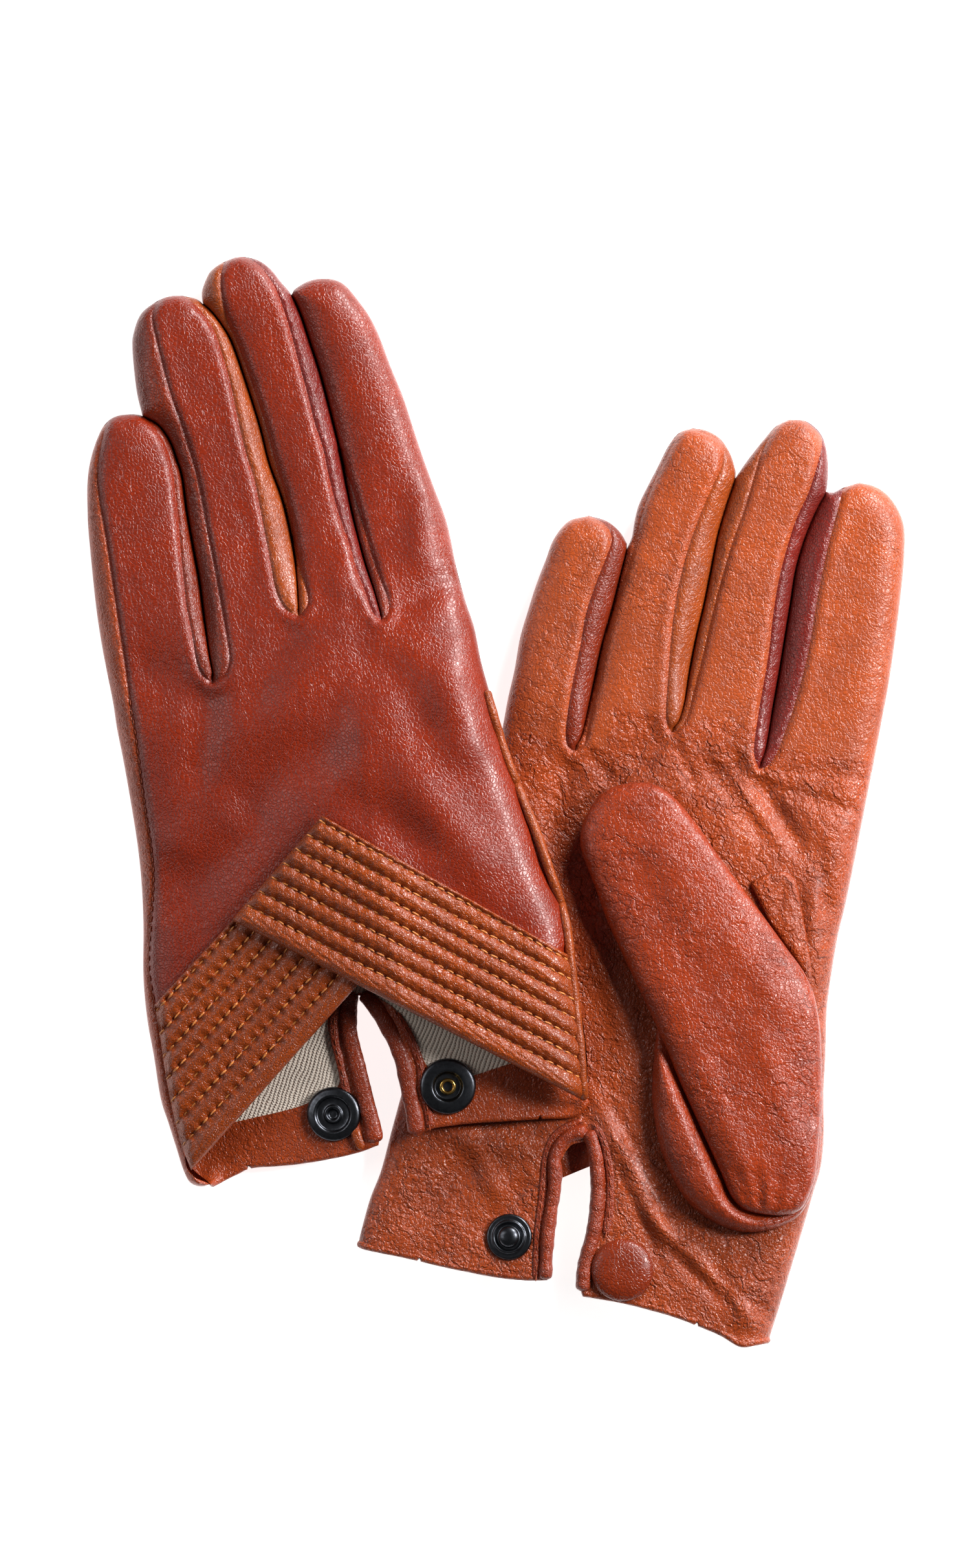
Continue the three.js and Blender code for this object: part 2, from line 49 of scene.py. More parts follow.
# Pattern lines of the left glove, lying back up, and of the right one, lying palm up, in millimetres.
# An "Out" or "Right" line is an outer edge or the line where two fingers touch; the rest are seams.
patterns = {
    "left": {
        "ulnarOut": [(-67.9, -91.4), (-70.1, -92), (-72.7, -91), (-74.3, -88), (-75.9, -83), (-77.8, -77),
                     (-79.7, -71),
                     (-81.3, -61), (-82.9, -52), (-83.8, -42), (-83.8, -30), (-84.3, -19), (-85.3, -10),
                     (-86.9, 0),
                     (-88.5, 9), (-90.1, 17), (-91, 23), (-92.6, 31), (-93.9, 38), (-95.2, 47), (-96.8, 63),
                     (-97.1, 69),
                     (-97.1, 75.5), (-96.3, 81), (-94.5, 86.5), (-92.6, 89.6), (-90, 91.2), (-86, 91.6),
                     (-84, 91.2)],
        "littleRight": [(-84, 91.2), (-80.2, 89), (-77.4, 85), (-75.8, 80.6), (-74.6, 76.6), (-73.5, 68.5),
                        (-72, 60),
                        (-70.5, 52), (-69.4, 43.5), (-68.2, 35), (-67.3, 30.2)],
        "ringLeftOut": [(-84, 91.2), (-85.2, 96), (-85.9, 101), (-86.4, 107), (-86.2, 110.6), (-84.4, 115.5),
                        (-80.4, 118.6), (-77.5, 119.7), (-74.6, 119.8)],
        "ringRight": [(-74.6, 119.8), (-71.2, 119), (-69.6, 117.8), (-67.4, 115.8), (-64.6, 112),
                      (-62.5, 108),
                      (-59.6, 99.7), (-56.2, 89), (-53.9, 80), (-51, 72), (-49.2, 65), (-47.9, 58),
                      (-47.2, 51),
                      (-46.9, 45.6)],
        "middleLeftOut": [(-69.6, 117.8), (-69.9, 119.5), (-69.7, 121.6), (-68.3, 125), (-66.6, 126.7),
                          (-64.5, 127.9),
                          (-62, 128.9), (-59.9, 129.1)],
        "middleRight": [(-59.9, 129.1), (-56.4, 128.2), (-53.4, 126), (-51.2, 123.2), (-48.6, 120),
                        (-46.3, 115),
                        (-44.3, 109), (-42.3, 103), (-40.6, 97), (-38.8, 90), (-37.1, 83), (-35.6, 75),
                        (-33.9, 67),
                        (-31.3, 57), (-29, 50), (-27.4, 44.4)],
        "indexLeftOut": [(-48.6, 120), (-48, 121.2), (-45.2, 123), (-42.6, 123.8), (-40, 123.9)],
        "radialOut": [(-40, 123.9), (-37.4, 123.3), (-35.1, 121.6), (-31.9, 117.6), (-29.9, 114.7),
                      (-27.6, 110),
                      (-25, 103), (-22.1, 96), (-19.8, 89), (-17.5, 82), (-14.6, 74), (-12.3, 68),
                      (-10.9, 63),
                      (-9.3, 55), (-7.1, 47), (-5.1, 41), (-3.5, 33), (-1.9, 27), (0, 20), (1, 15.5),
                      (3.1, 9.5),
                      (5.8, 1), (9.2, -8), (11.8, -16), (15.2, -24), (17.2, -29), (18.6, -37), (19.6, -46),
                      (20.9, -54), (21.7, -61), (21.7, -69), (20.4, -72)],
        "ulnarSeam": [(-71.4, -90), (-73.3, -88), (-74.6, -82), (-76.2, -76), (-77.5, -70), (-78.8, -63),
                      (-79.7, -56),
                      (-80.7, -50), (-82, -44), (-82.5, -38), (-82, -30), (-81.4, -19), (-82, -11),
                      (-83.2, -3),
                      (-84.3, 5), (-85.6, 15), (-86.9, 23), (-88.5, 34.5), (-90.1, 45), (-91.3, 53),
                      (-92.8, 63),
                      (-94, 70), (-94.7, 77), (-94, 83.5), (-92.6, 89.6)],
        "littleSeam": [(-84, 91.2), (-81, 88.4), (-78.4, 84), (-76.9, 79), (-76.3, 74), (-75.5, 67),
                       (-75, 60),
                       (-74, 50), (-73.6, 46), (-72.4, 40), (-71.2, 33), (-69.8, 29.6), (-67.4, 27.8)],
        "ringSeamLeft": [(-80.4, 118.6), (-81.7, 115), (-81, 110.6), (-79.2, 103), (-76.9, 95), (-74.6, 88.7),
                         (-71.7, 79.5), (-70, 72), (-68.6, 64), (-66.8, 55), (-65, 44.7), (-63.7, 37),
                         (-63.4, 32.6),
                         (-64.8, 29.4), (-67.4, 27.8)],
        "ringSeamRight": [(-74.6, 119.8), (-72.4, 118.4), (-70, 116), (-67.1, 111.8), (-64.8, 105),
                          (-63.1, 99),
                          (-61.6, 91.6), (-59.6, 83), (-57.3, 75.5), (-55.6, 66.8), (-53.9, 58), (-52.4, 50),
                          (-50.6, 46), (-48.7, 44.4), (-46.8, 43.6)],
        "middleSeamLeft": [(-64.5, 127.9), (-65.4, 124.5), (-65.2, 120), (-63.9, 114), (-61.7, 109),
                           (-58.4, 100),
                           (-54.9, 89.5), (-52.4, 80), (-49.7, 71), (-48, 62), (-46.6, 55), (-45.2, 50.6),
                           (-44.7, 46.6), (-46.8, 43.6)],
        "middleSeamRight": [(-59.9, 129.1), (-57, 127.6), (-55, 125.6), (-52.4, 121.6), (-50.4, 116.4),
                            (-48.6, 110.6),
                            (-46.9, 104), (-44.9, 97), (-43.2, 90), (-41.1, 83.5), (-39.7, 77), (-37.7, 69),
                            (-35.1, 61.6), (-33.1, 55), (-31.1, 49.5), (-29.3, 44.6), (-27.2, 42.6)],
        "indexSeam": [(-37.1, 83), (-34.5, 75), (-31.9, 67), (-29, 57), (-26.9, 51), (-25.7, 47.6),
                      (-25.5, 44.6),
                      (-27.2, 42.6)],
    },
    "right": {
        "ulnarOut": [(-32.6, -105.5), (-32.1, -103), (-29.9, -95), (-27.2, -88), (-24.3, -77), (-19.5, -60),
                     (-14.4, -45), (-9, -25), (-4.3, -8.4), (-1, 5), (1.6, 17), (2.9, 24), (4.5, 31),
                     (5.8, 38.5),
                     (7.7, 45), (9.6, 51), (11.9, 57), (13.8, 62), (17.3, 66.2), (22.1, 67.5)],
        "littleRight": [(22.1, 67.5), (26.3, 66.3), (29.2, 64), (30.8, 61.5), (31.2, 59.6), (29.5, 52.6),
                        (27.6, 45),
                        (25.3, 37), (23.7, 29.5), (22.1, 22), (20.5, 15.4), (19.4, 13.2)],
        "ringLeftOut": [(31.2, 59.6), (32.4, 62.4), (33, 66), (34, 70), (35.9, 74), (38.5, 79), (41, 84),
                        (43.6, 87.2), (46.8, 88.3)],
        "ringRight": [(46.8, 88.3), (50, 87.8), (53.2, 86), (55.4, 83), (56.7, 79.5), (57, 76.4),
                      (55.1, 70.5),
                      (52.9, 63), (51.3, 55), (49.7, 47), (47.8, 39), (46.2, 31), (44.9, 23), (43.6, 18.7),
                      (42.6, 17.4)],
        "middleLeftOut": [(57, 76.4), (58.7, 79), (60.9, 82), (64.1, 86), (66.7, 88.8), (69.9, 90.4)],
        "middleRight": [(69.9, 90.4), (73.7, 90), (76.9, 87.5), (78.5, 84), (79.1, 79), (78.6, 73.2),
                        (76.5, 69),
                        (73.7, 62.4), (71.5, 55), (70.2, 47), (68.9, 39), (67.6, 31), (66, 22), (64.4, 12.6),
                        (63.2, 9)],
        "indexLeftOut": [(78.6, 73.2), (80.3, 73), (82.7, 74.2), (86.5, 75.4)],
        "radialOut": [(86.5, 75.4), (90.4, 74.4), (93.6, 72), (96.2, 68), (97.3, 63.5), (97.1, 56),
                      (96.2, 47),
                      (94.9, 37), (93.6, 28), (92, 19.5), (89.9, 8.5), (87.5, -3.6), (85.5, -14), (83.2, -25),
                      (81.5, -32), (80.1, -40), (79.1, -47), (78.7, -52), (78.5, -60), (78, -71), (78.1, -79),
                      (77.4, -87), (75.4, -94), (73.4, -101), (70.7, -110), (68, -119), (65, -128.4)],
        "littleSeam": [(22.1, 67.5), (26, 65.4), (27.6, 62), (26.3, 57.7), (23.7, 51), (21.4, 44), (20.2, 37),
                       (18.6, 29.5), (17.3, 22), (16.6, 15.8), (17.2, 12.6), (18.8, 11.6)],
        "ringSeamLeft": [(43.6, 87.2), (38.8, 78), (35.3, 69.5), (32.9, 60), (30.1, 51.4), (27.2, 42),
                         (24.9, 32),
                         (23.2, 24), (21.9, 17), (20.9, 13), (18.8, 11.6)],
        "ringSeamRight": [(46.8, 88.3), (52.2, 86), (54.2, 83.6), (53.8, 79.5), (51.3, 74), (48.7, 68),
                          (46.2, 61),
                          (44.2, 54), (42.6, 46), (41.7, 38.5), (41, 29.5), (40.5, 22), (40.7, 18.2),
                          (41.9, 16)],
        "middleSeamLeft": [(66.7, 88.8), (63.5, 83), (61.5, 77), (59, 68.6), (56.4, 61.5), (53.8, 52.6),
                           (51.3, 43),
                           (49.4, 34.6), (47.1, 25.6), (45.6, 20), (43.9, 16.9), (41.9, 16)],
        "middleSeamRight": [(73.7, 90), (77, 86.8), (77.6, 84.4), (76.6, 80), (74.4, 73), (71.5, 66.7),
                            (69.2, 59.6),
                            (67.3, 52), (66, 44), (65.1, 36), (63.8, 28), (62.5, 20.5), (61.4, 11.6),
                            (62.6, 7.3)],
        "indexSeam": [(82.7, 74.2), (81.4, 69), (79.5, 62), (77.9, 55), (76.3, 47), (75.1, 39), (73.4, 31),
                      (71.2, 23), (68.8, 16), (66.6, 10.6), (64.6, 8), (62.6, 7.3)],
    },
}

# How each glove lies: the place of its wrist, its turn, and each finger's knuckle and tip across and
# along the hand
lay = {
    "left": {"place": (-27, -85), "turn": 8.74,
             "little": ((-35.2, 122), (-34, 184.1)), "ring": ((-11.2, 135.7), (-16.8, 210)),
             "middle": ((9.1, 133.5), (1.4, 216.5)), "index": ((29, 129.5), (20.4, 208.6))},
    "right": {"place": (16, -117), "turn": -14.6,
              "little": ((-38.6, 126.4), (-41.1, 179.7)), "ring": ((-17.9, 138), (-22.2, 206.4)),
              "middle": ((3.3, 141), (0.4, 214.5)), "index": ((27.2, 139), (21.2, 204.4))},
}
fingers = {
    "little": {"outer": ("ulnarOut", "littleRight"), "seams": (None, "littleSeam")},
    "ring": {"outer": ("ringLeftOut", "ringRight"), "seams": ("ringSeamLeft", "ringSeamRight")},
    "middle": {"outer": ("middleLeftOut", "middleRight"), "seams": ("middleSeamLeft", "middleSeamRight")},
    "index": {"outer": ("indexLeftOut", "radialOut"), "seams": ("indexSeam", None)},
}
touching = {"ring": "littleRight", "middle": "ringRight", "index": "middleRight"}


# Plan geometry

def drawn(points, step=0.9):
    # Points about a step apart along a smooth line through the given ones
    given = np.array(points, float)
    ends = np.vstack([2 * given[0] - given[1], given, 2 * given[-1] - given[-2]])
    out = []
    for i in range(1, len(ends) - 2):
        before, start, end, after = ends[i - 1:i + 3]
        count = max(1, round(np.linalg.norm(end - start) / step))
        for t in np.arange(count) / count:
            out.append(0.5 * (2 * start + (end - before) * t
                              + (2 * before - 5 * start + 4 * end - after) * t**2
                              + (3 * start - before - 3 * end + after) * t**3))
    out.append(given[-1])
    return np.array(out)


def toHand(side, points):
    # Row-frame points as distances across and along the hand
    turn = math.radians(lay[side]["turn"])
    x, y = (np.asarray(points, float) - lay[side]["place"]).T
    return np.stack([x * math.cos(turn) + y * math.sin(turn), y * math.cos(turn) - x * math.sin(turn)], 1)


def toRow(side, points):
    turn = math.radians(lay[side]["turn"])
    x, y = np.asarray(points, float).reshape(-1, 2).T
    rotated = np.stack([x * math.cos(turn) - y * math.sin(turn), x * math.sin(turn) + y * math.cos(turn)], 1)
    return rotated + lay[side]["place"]


def fingerAxis(side, finger):
    knuckle, tip = toRow(side, lay[side][finger])
    along = (tip - knuckle) / np.linalg.norm(tip - knuckle)
    return knuckle, along


def withCrossing(line, point, along):
    # The line with a vertex added where it passes the knuckle line near the knuckle
    ahead = (line - point) @ along
    turns = np.nonzero(ahead[:-1] * ahead[1:] < 0)[0]
    crossings = [(k, line[k] + (line[k + 1] - line[k]) * ahead[k] / (ahead[k] - ahead[k + 1])) for k in turns]
    crossings = [(k, p) for k, p in crossings if np.linalg.norm(p - point) < 26]
    for k, p in sorted(crossings, key=lambda c: -c[0]):
        line = np.insert(line, k + 1, p, axis=0)
    return line


def distanceTo(points, line):
    # Distance of each point from a line of vertices, and how far along the line its nearest place is
    start, step = line[:-1], np.diff(line, axis=0)
    lengths = np.linalg.norm(step, axis=1)
    reached = np.concatenate([[0], np.cumsum(lengths)])[:-1]
    nearest, place = np.empty(len(points)), np.empty(len(points))
    for k in range(0, len(points), 4000):
        offset = points[k:k + 4000, None] - start
        share = np.clip((offset * step).sum(2) / np.maximum(lengths**2, 1e-12), 0, 1)
        gap = np.linalg.norm(offset - share[..., None] * step, axis=2)
        best = gap.argmin(1)
        rows = np.arange(len(best))
        nearest[k:k + 4000] = gap[rows, best]
        place[k:k + 4000] = reached[best] + share[rows, best] * lengths[best]
    return nearest, place


def insideOf(points, loop):
    x, y = points.T
    within = np.zeros(len(points), bool)
    for (ax, ay), (bx, by) in zip(loop, np.roll(loop, -1, 0)):
        crosses = (ay > y) != (by > y)
        with np.errstate(divide="ignore", invalid="ignore"):
            within ^= crosses & (x < (bx - ax) * (y - ay) / (by - ay) + ax)
    return within


def stretch(line, start, end):
    # The part of a line from its vertex nearest start to its vertex nearest end, either way round
    a = np.linalg.norm(line - start, axis=1).argmin()
    b = np.linalg.norm(line - end, axis=1).argmin()
    return line[a:b + 1] if a <= b else line[b:a + 1][::-1]


def joined(*parts):
    loop = np.vstack(parts)
    keep = np.linalg.norm(loop - np.roll(loop, 1, 0), axis=1) > 1e-4
    return loop[keep]


def filled(loop, spacing, rings=(0.3, 0.8, 1.6), cuts=()):
    # Plan vertices and triangles that fill a loop, finer towards its edge, with edges along each cut
    low, high = loop.min(0), loop.max(0)
    rows = np.arange(low[1], high[1], spacing * 0.87)
    grid = [(x + (k % 2) * spacing / 2, y) for k,
            y in enumerate(rows) for x in np.arange(low[0], high[0], spacing)]
    closed = np.vstack([loop, loop[:1]])
    tangent = np.roll(loop, -1, 0) - np.roll(loop, 1, 0)
    normal = np.stack([-tangent[:, 1], tangent[:, 0]],
                      1) / np.maximum(np.linalg.norm(tangent, axis=1), 1e-9)[:, None]
    extra = []
    for ring in rings:
        for way in (1, -1):
            offset = loop + way * ring * normal
            distance, _ = distanceTo(offset, closed)
            extra.append(offset[insideOf(offset, loop) & (distance > 0.9 * ring)])
    grid = np.array(grid)
    distance, _ = distanceTo(grid, closed)
    reach = (rings[-1] if rings else 0) + 0.45 * spacing
    grid = grid[insideOf(grid, loop) & (distance > reach)]
    points = [loop, *extra, grid]
    edges = [(k, (k + 1) % len(loop)) for k in range(len(loop))]
    count = sum(map(len, points))
    for cut in cuts:
        points.append(cut)
        edges += [(count + k, count + k + 1) for k in range(len(cut) - 1)]
        count += len(cut)
    made = geometry.delaunay_2d_cdt([Vector(p) for p in np.vstack(points)], edges, [], 1, 1e-4)
    plan, faces = np.array([tuple(v) for v in made[0]]), np.array(made[2])
    return plan, faces[insideOf(plan[faces].mean(1), loop)]


# Heights

def smooth(value, start, end):
    t = np.clip((value - start) / (end - start), 0, 1)
    return t * t * (3 - 2 * t)


def mixed(start, end, share):
    return start + (end - start) * share


def middleHeight(side, hand):
    across, along = hand.T
    if side == "right":
        return mixed(mixed(4.7, 6, smooth(across, -30, 15)), 5.6, smooth(along, 110, 138))
    climb = np.clip((across + 48) / 58, 0, 1)
    return 5.4 + 13 * climb * (1 - smooth(along, 100, 160)) * mixed(0.85, 1, smooth(along, 5, 45))


def faceRise(side, upper, hand):
    across, along = hand.T
    if side == "left":
        return np.full(len(hand), 5.4 if upper else 5.2)
    middle = middleHeight(side, hand)
    if upper:
        return mixed(mixed(8, 12.6, smooth(across, -30, 15)) - middle, 5.4, smooth(along, 108, 140))
    return mixed(middle - mixed(3.3, 1, smooth(along, 84, 97)), 5.4, smooth(along, 108, 140))


droop = {"depth": 4.2, "reach": 27}  # how far the left glove's thumb side sinks, and how far in that starts
seamGroove = {"depth": 0.5, "width": 0.5, "shoulder": 0.25, "aside": 1.7, "spread": 1.0}


def roundness(distance, radius):
    # Height of a rounded edge, from 0 at the edge to 1 a radius inside it
    inward = 1 - np.clip(distance / radius, 0, 1)
    return (1 - inward**2.4) ** (1 / 2.4)


class Glove:
    # One glove's pattern lines and the heights of its two faces
    def __init__(self, side):
        self.side = side
        self.lines = {name: drawn(points) for name, points in patterns[side].items()}
        for finger in fingers:
            knuckle, along = fingerAxis(side, finger)
            used = [*fingers[finger]["outer"], *fingers[finger]["seams"], touching.get(finger), "ulnarSeam"]
            for name in used:
                if name in self.lines and (name != "ulnarSeam" or finger == "little"):
                    self.lines[name] = withCrossing(self.lines[name], knuckle, along)
        self.outer = [name for name in self.lines if name.endswith("Out") or name.endswith("Right")]
        self.outer = [name for name in self.outer if "Seam" not in name]
        self.folds = []

    def rim(self, points):
        # How high the leather stands at each point, from 0 at an edge to 1 inside
        level = np.ones(len(points))
        for name in self.outer:
            distance, place = distanceTo(points, self.lines[name])
            radius, depth = 9.0, 1.0
            if name.endswith("Right"):
                total = np.linalg.norm(np.diff(self.lines[name], axis=0), axis=1).sum()
                up = smooth(total - place, 0, 16)
                radius, depth = mixed(3.2, 8.6, up), mixed(0.42, 1.0, up)
            level = np.minimum(level, 1 - depth * (1 - roundness(distance, radius)))
        return level

    def height(self, points, upper):
        hand = toHand(self.side, points)
        rise = faceRise(self.side, upper, hand) * self.rim(points)
        z = middleHeight(self.side, hand) + (rise if upper else -rise)
        if self.side == "left":  # the thumb's side droops towards the other glove
            distance, _ = distanceTo(points, self.lines["radialOut"])
            sunk = droop["depth"] * (1 - roundness(distance, droop["reach"]))
            z -= sunk * (1 - smooth(hand[:, 1], 112, 140)) * smooth(hand[:, 0], 0, 30)
        if not upper:
            return z
        for name in self.lines:
            if "Seam" in name:
                distance, _ = distanceTo(points, self.lines[name])
                groove = seamGroove["depth"] * np.exp(-(distance / seamGroove["width"]) ** 2)
                raised = np.exp(-((distance - seamGroove["aside"]) / seamGroove["spread"]) ** 2)
                z -= groove - seamGroove["shoulder"] * raised
        for (ax, ay), (bx, by), width, depth in self.folds:
            axis = np.array([bx - ax, by - ay])
            span = np.linalg.norm(axis)
            offset = points - (ax, ay)
            along = offset @ axis / span
            aside = (offset @ np.array([-axis[1], axis[0]])) / span
            fade = smooth(along, -0.12 * span, 0.25 * span) * (1 - smooth(along, 0.75 * span, 1.12 * span))
            z += depth * fade * np.exp(-(aside / width) ** 2)
        return z


# Meshes

def built(name, points, faces, material, normals=None, lowest=0.05):
    mesh = bpy.data.meshes.new(name)
    points = np.array(points, float)
    points[:, 2] = np.maximum(points[:, 2], lowest)  # nothing sinks into the table
    mesh.from_pydata((points * mm).tolist(), [], np.asarray(faces).tolist())
    mesh.polygons.foreach_set("use_smooth", [True] * len(mesh.polygons))
    mesh.materials.append(material)
    if normals is not None:
        mesh.normals_split_custom_set_from_vertices(normals.tolist())
    piece = bpy.data.objects.new(name, mesh)
    bpy.context.scene.collection.objects.link(piece)
    return piece


def vertexNormals(points, faces):
    corners = points[faces]
    face = np.cross(corners[:, 1] - corners[:, 0], corners[:, 2] - corners[:, 0])
    normals = np.zeros_like(points)
    for k in range(3):
        np.add.at(normals, faces[:, k], face)
    return normals / np.maximum(np.linalg.norm(normals, axis=1), 1e-12)[:, None]


def part(points, faces, keep, normals):
    # The chosen faces, their vertices renumbered, and those vertices' normals
    used, renumbered = np.unique(faces[keep], return_inverse=True)
    return points[used], renumbered.reshape(-1, 3), normals[used]


def facingUp(plan, faces, up=True):
    a, b, c = (plan[faces[:, k]] for k in range(3))
    area = (b[:, 0] - a[:, 0]) * (c[:, 1] - a[:, 1]) - (b[:, 1] - a[:, 1]) * (c[:, 0] - a[:, 0])
    wrong = (area < 0) == up
    faces = faces.copy()
    faces[wrong] = faces[wrong][:, ::-1]
    return faces



def plainMaterial(name, color):
    material = bpy.data.materials.new(name)
    material.use_nodes = True
    shader = material.node_tree.nodes["Principled BSDF"]
    shader.inputs["Base Color"].default_value = (*color, 1)
    shader.inputs["Roughness"].default_value = 0.42
    return material


# Materials

def node(tree, kind, inputs=(), **settings):
    made = tree.nodes.new("ShaderNode" + kind)
    for key, value in settings.items():
        setattr(made, key, value)
    for key, value in dict(inputs).items():
        if isinstance(value, bpy.types.NodeSocket):
            tree.links.new(value, made.inputs[key])
        else:
            made.inputs[key].default_value = value
    return made


def blendColor(tree, share, first, second, kind="MIX"):
    made = node(tree, "Mix", {0: share}, data_type="RGBA", blend_type=kind)
    for key, value in ((6, first), (7, second)):
        if isinstance(value, bpy.types.NodeSocket):
            tree.links.new(value, made.inputs[key])
        else:
            made.inputs[key].default_value = (*value, 1)
    return made.outputs[2]


def calc(tree, operation, *values):
    return node(tree, "Math", dict(enumerate(values)), operation=operation).outputs[0]


def stepped(tree, value, low, high, toLow=0.0, toHigh=1.0):
    made = node(tree, "MapRange", {"Value": value, "From Min": low, "From Max": high, "To Min": toLow,
                                   "To Max": toHigh},
                interpolation_type="SMOOTHSTEP")
    return made.outputs["Result"]


def newGroup(name, given, made):
    tree = bpy.data.node_groups.new(name, "ShaderNodeTree")
    for label, kind, value in given:
        tree.interface.new_socket(label, in_out="INPUT",
                                  socket_type="NodeSocket" + kind).default_value = value
    for label, kind in made:
        tree.interface.new_socket(label, in_out="OUTPUT", socket_type="NodeSocket" + kind)
    return tree, tree.nodes.new("NodeGroupInput").outputs, tree.nodes.new("NodeGroupOutput").inputs


def leatherGrain():
    # Grain cells, short creases, long soft wrinkles and the dye's mottling, in millimetres, with painted
    # shade darkening the creases and grain grooves and a painted highlight lightening the grain tops
    tree, given, made = newGroup("Nappa grain", (
        ("Leather color", "Color", (0.35, 0.08, 0.02, 1)), ("Dark tone and painted shade color", "Color", (0.12, 0.02, 0.01, 1)),
        ("Painted highlight color", "Color", (0.6, 0.25, 0.12, 1)), ("Grain size", "Float", 0.8),
        ("Grain depth", "Float", 0.05),
        ("Crease size", "Float", 5), ("Crease depth", "Float", 0.1), ("Wrinkle depth", "Float", 0.3),
        ("Wrinkle turn", "Float", 0.6), ("Gloss", "Float", 0.4),
    ), (("Color", "Color"), ("Roughness", "Float"), ("Height", "Float")))
    place = node(tree, "TexCoord").outputs["Object"]
    spot = node(tree, "VectorMath", {0: place, "Scale": 1000.0}, operation="SCALE").outputs["Vector"]
    drift = node(tree, "TexNoise", {"Vector": spot, "Scale": 0.35, "Detail": 2.0}).outputs["Color"]
    drift = node(tree, "VectorMath", {0: drift, 1: (0.5, 0.5, 0.5)}, operation="SUBTRACT").outputs["Vector"]
    bent = node(tree, "VectorMath", {0: drift, 1: (1.6, 1.6, 1.6), 2: spot},
                operation="MULTIPLY_ADD").outputs["Vector"]
    cells = node(tree, "TexVoronoi", {"Vector": bent,
                                      "Scale": calc(tree, "DIVIDE", 1.0, given["Grain size"])},
                 feature="DISTANCE_TO_EDGE").outputs["Distance"]
    grain = stepped(tree, cells, 0.0, 0.22)
    turned = node(tree, "VectorRotate", {"Vector": spot, "Axis": (0, 0, 1),
                                         "Angle": given["Wrinkle turn"]}).outputs[0]
    swirl = node(tree, "VectorMath", {0: drift, 1: (9, 9, 9), 2: turned},
                 operation="MULTIPLY_ADD").outputs["Vector"]
    longWay = node(tree, "VectorMath", {0: swirl, 1: (0.45, 1, 0.6)}, operation="MULTIPLY").outputs["Vector"]
    folds = node(tree, "TexVoronoi", {"Vector": longWay,
                                      "Scale": calc(tree, "DIVIDE", 1.0, given["Crease size"])},
                 feature="DISTANCE_TO_EDGE").outputs["Distance"]
    crease = stepped(tree, folds, 0.0, 0.13)
    small = node(tree, "TexVoronoi", {"Vector": longWay,
                                      "Scale": calc(tree, "DIVIDE", 2.7, given["Crease size"])},
                 feature="DISTANCE_TO_EDGE").outputs["Distance"]
    fine = stepped(tree, small, 0.0, 0.12)
    patch = node(tree, "TexNoise", {"Vector": spot, "Scale": 0.06, "Detail": 2.0}).outputs["Fac"]
    patchy = stepped(tree, patch, 0.4, 0.62)
    stretched = node(tree, "VectorMath", {0: swirl, 1: (0.045, 0.3, 0.15)},
                     operation="MULTIPLY").outputs["Vector"]
    wrinkle = node(tree, "TexNoise", {"Vector": stretched, "Scale": 1.0, "Detail": 3.0,
                                      "Roughness": 0.55}).outputs["Fac"]
    lines = calc(tree, "ADD", calc(tree, "MULTIPLY", crease, 1.0), calc(tree, "MULTIPLY", fine, 0.45))
    lines = calc(tree, "MULTIPLY", calc(tree, "MULTIPLY", lines, given["Crease depth"]),
                 calc(tree, "ADD", calc(tree, "MULTIPLY", patchy, 0.75), 0.25))
    height = calc(tree, "MULTIPLY_ADD", grain, given["Grain depth"], lines)
    height = calc(tree, "MULTIPLY_ADD", wrinkle, given["Wrinkle depth"], height)
    mottle = node(tree, "TexNoise", {"Vector": spot, "Scale": 0.09, "Detail": 4.0,
                                     "Roughness": 0.6}).outputs["Fac"]
    speck = node(tree, "TexNoise", {"Vector": spot, "Scale": 1.3, "Detail": 2.0}).outputs["Fac"]
    tone = calc(tree, "ADD", stepped(tree, mottle, 0.3, 0.72, 0.0, 0.3),
                stepped(tree, speck, 0.35, 0.7, 0.0, 0.12))
    color = blendColor(tree, tone, given["Leather color"], given["Dark tone and painted shade color"])
    # Painted highlight: the grain tops are lightened towards a paler colour in some patches
    paintedHighlight = calc(tree, "MULTIPLY", stepped(tree, mottle, 0.5, 0.25),
                stepped(tree, cells, 0.12, 0.4, 0.0, 0.35))
    color = blendColor(tree, paintedHighlight, color, given["Painted highlight color"])
    # Painted shade: the creases are darkened towards the dark colour in some patches
    paintedCreaseShade = calc(tree, "MULTIPLY", stepped(tree, folds, 0.07, 0.0, 0.0, 0.5), patchy)
    paintedCreaseShade = calc(tree, "MULTIPLY", paintedCreaseShade,
                    calc(tree, "MINIMUM", calc(tree, "MULTIPLY", given["Crease depth"], 8.0), 1.0))
    color = blendColor(tree, paintedCreaseShade, color, given["Dark tone and painted shade color"])
    # Painted shade: the grain's grooves are darkened towards the dark colour
    color = blendColor(tree, stepped(tree, cells, 0.1, 0.0, 0.0, 0.35), color, given["Dark tone and painted shade color"])
    rough = calc(tree, "MULTIPLY_ADD", stepped(tree, mottle, 0.3, 0.7), 0.08, given["Gloss"])
    rough = calc(tree, "ADD", rough, stepped(tree, cells, 0.12, 0.0, 0.0, 0.15))
    for label, value in (("Color", color), ("Roughness", rough), ("Height", height)):
        tree.links.new(value, made[label])
    return tree


